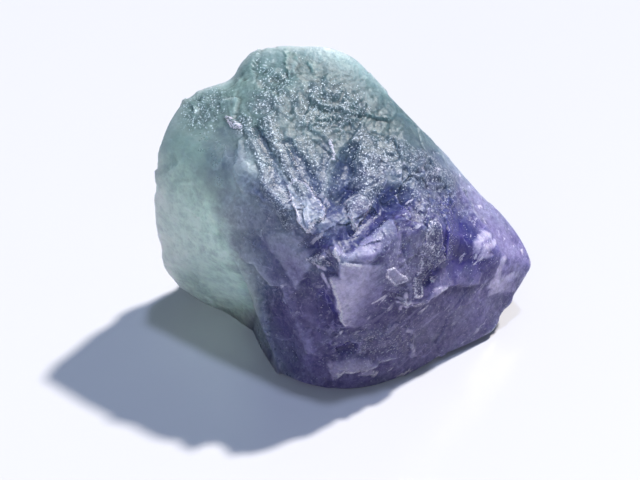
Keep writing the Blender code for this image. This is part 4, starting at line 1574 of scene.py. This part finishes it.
    def build(self) -> bpy.types.Object:
        """Make the stone's object, dress it and put it in the CAD node's place.

        Returns:
            The finished piece.
        """
        rays, faces = self.rays_and_faces()
        reach, marks = self.surface(rays)
        marks["cavity"] = self.cavity(reach, faces)
        mesh = bpy.data.meshes.new("fluorite_surface")
        mesh.from_pydata(self.grounded(rays, reach) * MM, [], faces)
        mesh.update()
        mesh.shade_smooth()
        mesh.set_sharp_from_angle(angle=radians(self.sharp_from))
        for name, values in marks.items():
            attribute = mesh.attributes.new(name, "FLOAT", "POINT")
            attribute.data.foreach_set("value", values.astype(np.float32))
        mesh.materials.append(self.finish.material())
        stone = link(bpy.data.objects.new("fluorite_surface", mesh))
        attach(stone, BODY)
        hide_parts(NODE)
        return stone


# ---------------------------------------------------------------- the studio


def link(thing: bpy.types.Object) -> bpy.types.Object:
    """Put an object into the scene and hand it back."""
    bpy.context.scene.collection.objects.link(thing)
    return thing


def facing(direction: Iterable[float]) -> Euler:
    """Rotation of a light or camera that sits out along direction and looks back."""
    return Vector(direction).to_track_quat("Z", "Y").to_euler()


@dataclass(frozen=True)
class Lamp:
    """A far lamp: the direction towards it, its strength, colour and width in degrees."""

    direction: tuple[float, float, float]
    strength: float
    colour: Colour
    angle: float


@dataclass
class Studio:
    """A pale plain floor, one clear lamp, two faint ones and a soft sky."""

    floor_size: float = 3.0
    floor_colour: Colour = (0.52, 0.505, 0.505)
    floor_roughness: float = 0.28
    main_lamp: Lamp = Lamp((0.55, 0.46, 1.0), 5.6, (1.0, 0.98, 0.97), 3.5)
    top_lamp: Lamp = Lamp((0.11, 0.05, 1.0), 1.40, (0.53, 0.64, 1.0), 5.0)
    front_lamp: Lamp = Lamp((-0.28, -0.88, 0.16), 0.58, (0.87, 0.84, 1.0), 40.0)
    sky_colour: Colour = (0.557, 0.757, 1.0)
    sky_strength: float = 0.31

    def build(self) -> None:
        """Make the floor, the lamps and the sky."""
        self.floor()
        self.lamp("main_lamp", self.main_lamp)
        self.lamp("top_lamp", self.top_lamp)
        self.lamp("front_lamp", self.front_lamp)
        self.sky()

    def floor(self) -> None:
        """Lay a flat plain sheet under the stone."""
        half = self.floor_size / 2
        mesh = bpy.data.meshes.new("studio_floor")
        corners = [(-half, -half, 0), (half, -half, 0), (half, half, 0), (-half, half, 0)]
        mesh.from_pydata(corners, [], [(0, 1, 2, 3)])
        material = bpy.data.materials.new("pale_floor")
        material.use_nodes = True
        shader = material.node_tree.nodes["Principled BSDF"]
        shader.inputs["Base Color"].default_value = (*self.floor_colour, 1.0)
        shader.inputs["Roughness"].default_value = self.floor_roughness
        mesh.materials.append(material)
        link(bpy.data.objects.new("studio_floor", mesh))

    def lamp(self, name: str, lamp: Lamp) -> None:
        """Hang one far lamp.

        Args:
            name: The lamp's name.
            lamp: Where it is and how it shines.
        """
        light = bpy.data.lights.new(name, "SUN")
        light.energy = lamp.strength
        light.color = lamp.colour
        light.angle = radians(lamp.angle)
        link(bpy.data.objects.new(name, light)).rotation_euler = facing(lamp.direction)

    def sky(self) -> None:
        """Light the shadows from all round with a plain cool sky."""
        world = bpy.data.worlds.new("studio_sky")
        world.use_nodes = True
        background = world.node_tree.nodes["Background"]
        background.inputs["Color"].default_value = (*self.sky_colour, 1.0)
        background.inputs["Strength"].default_value = self.sky_strength
        bpy.context.scene.world = world


@dataclass
class Viewpoint:
    """The camera: a long lens that looks down on the stone from the front."""

    elevation: float = 38.0
    distance: float = 0.193
    target: tuple[float, float, float] = (-0.00275, -0.00272, 0.013)
    lens: float = 100.0

    def build(self) -> None:
        """Make the camera and set it as the scene's own."""
        camera = bpy.data.cameras.new("viewpoint")
        camera.lens = self.lens
        camera.clip_start = 0.005
        placed = link(bpy.data.objects.new("viewpoint", camera))
        tilt = radians(self.elevation)
        direction = Vector((0.0, -cos(tilt), sin(tilt)))
        placed.location = Vector(self.target) + direction * self.distance
        placed.rotation_euler = facing(direction)
        bpy.context.scene.camera = placed


def main() -> None:
    """Build the stone, then the studio and the camera."""
    logging.basicConfig(level=logging.INFO, format="%(name)s: %(message)s")
    stone = FluoriteChunk(FluoriteFinish()).build()
    LOG.info("%s has %d faces", stone.name, len(stone.data.polygons))
    Studio().build()
    Viewpoint().build()
    bpy.context.scene.view_settings.view_transform = "Standard"


if __name__ == "__main__":
    main()
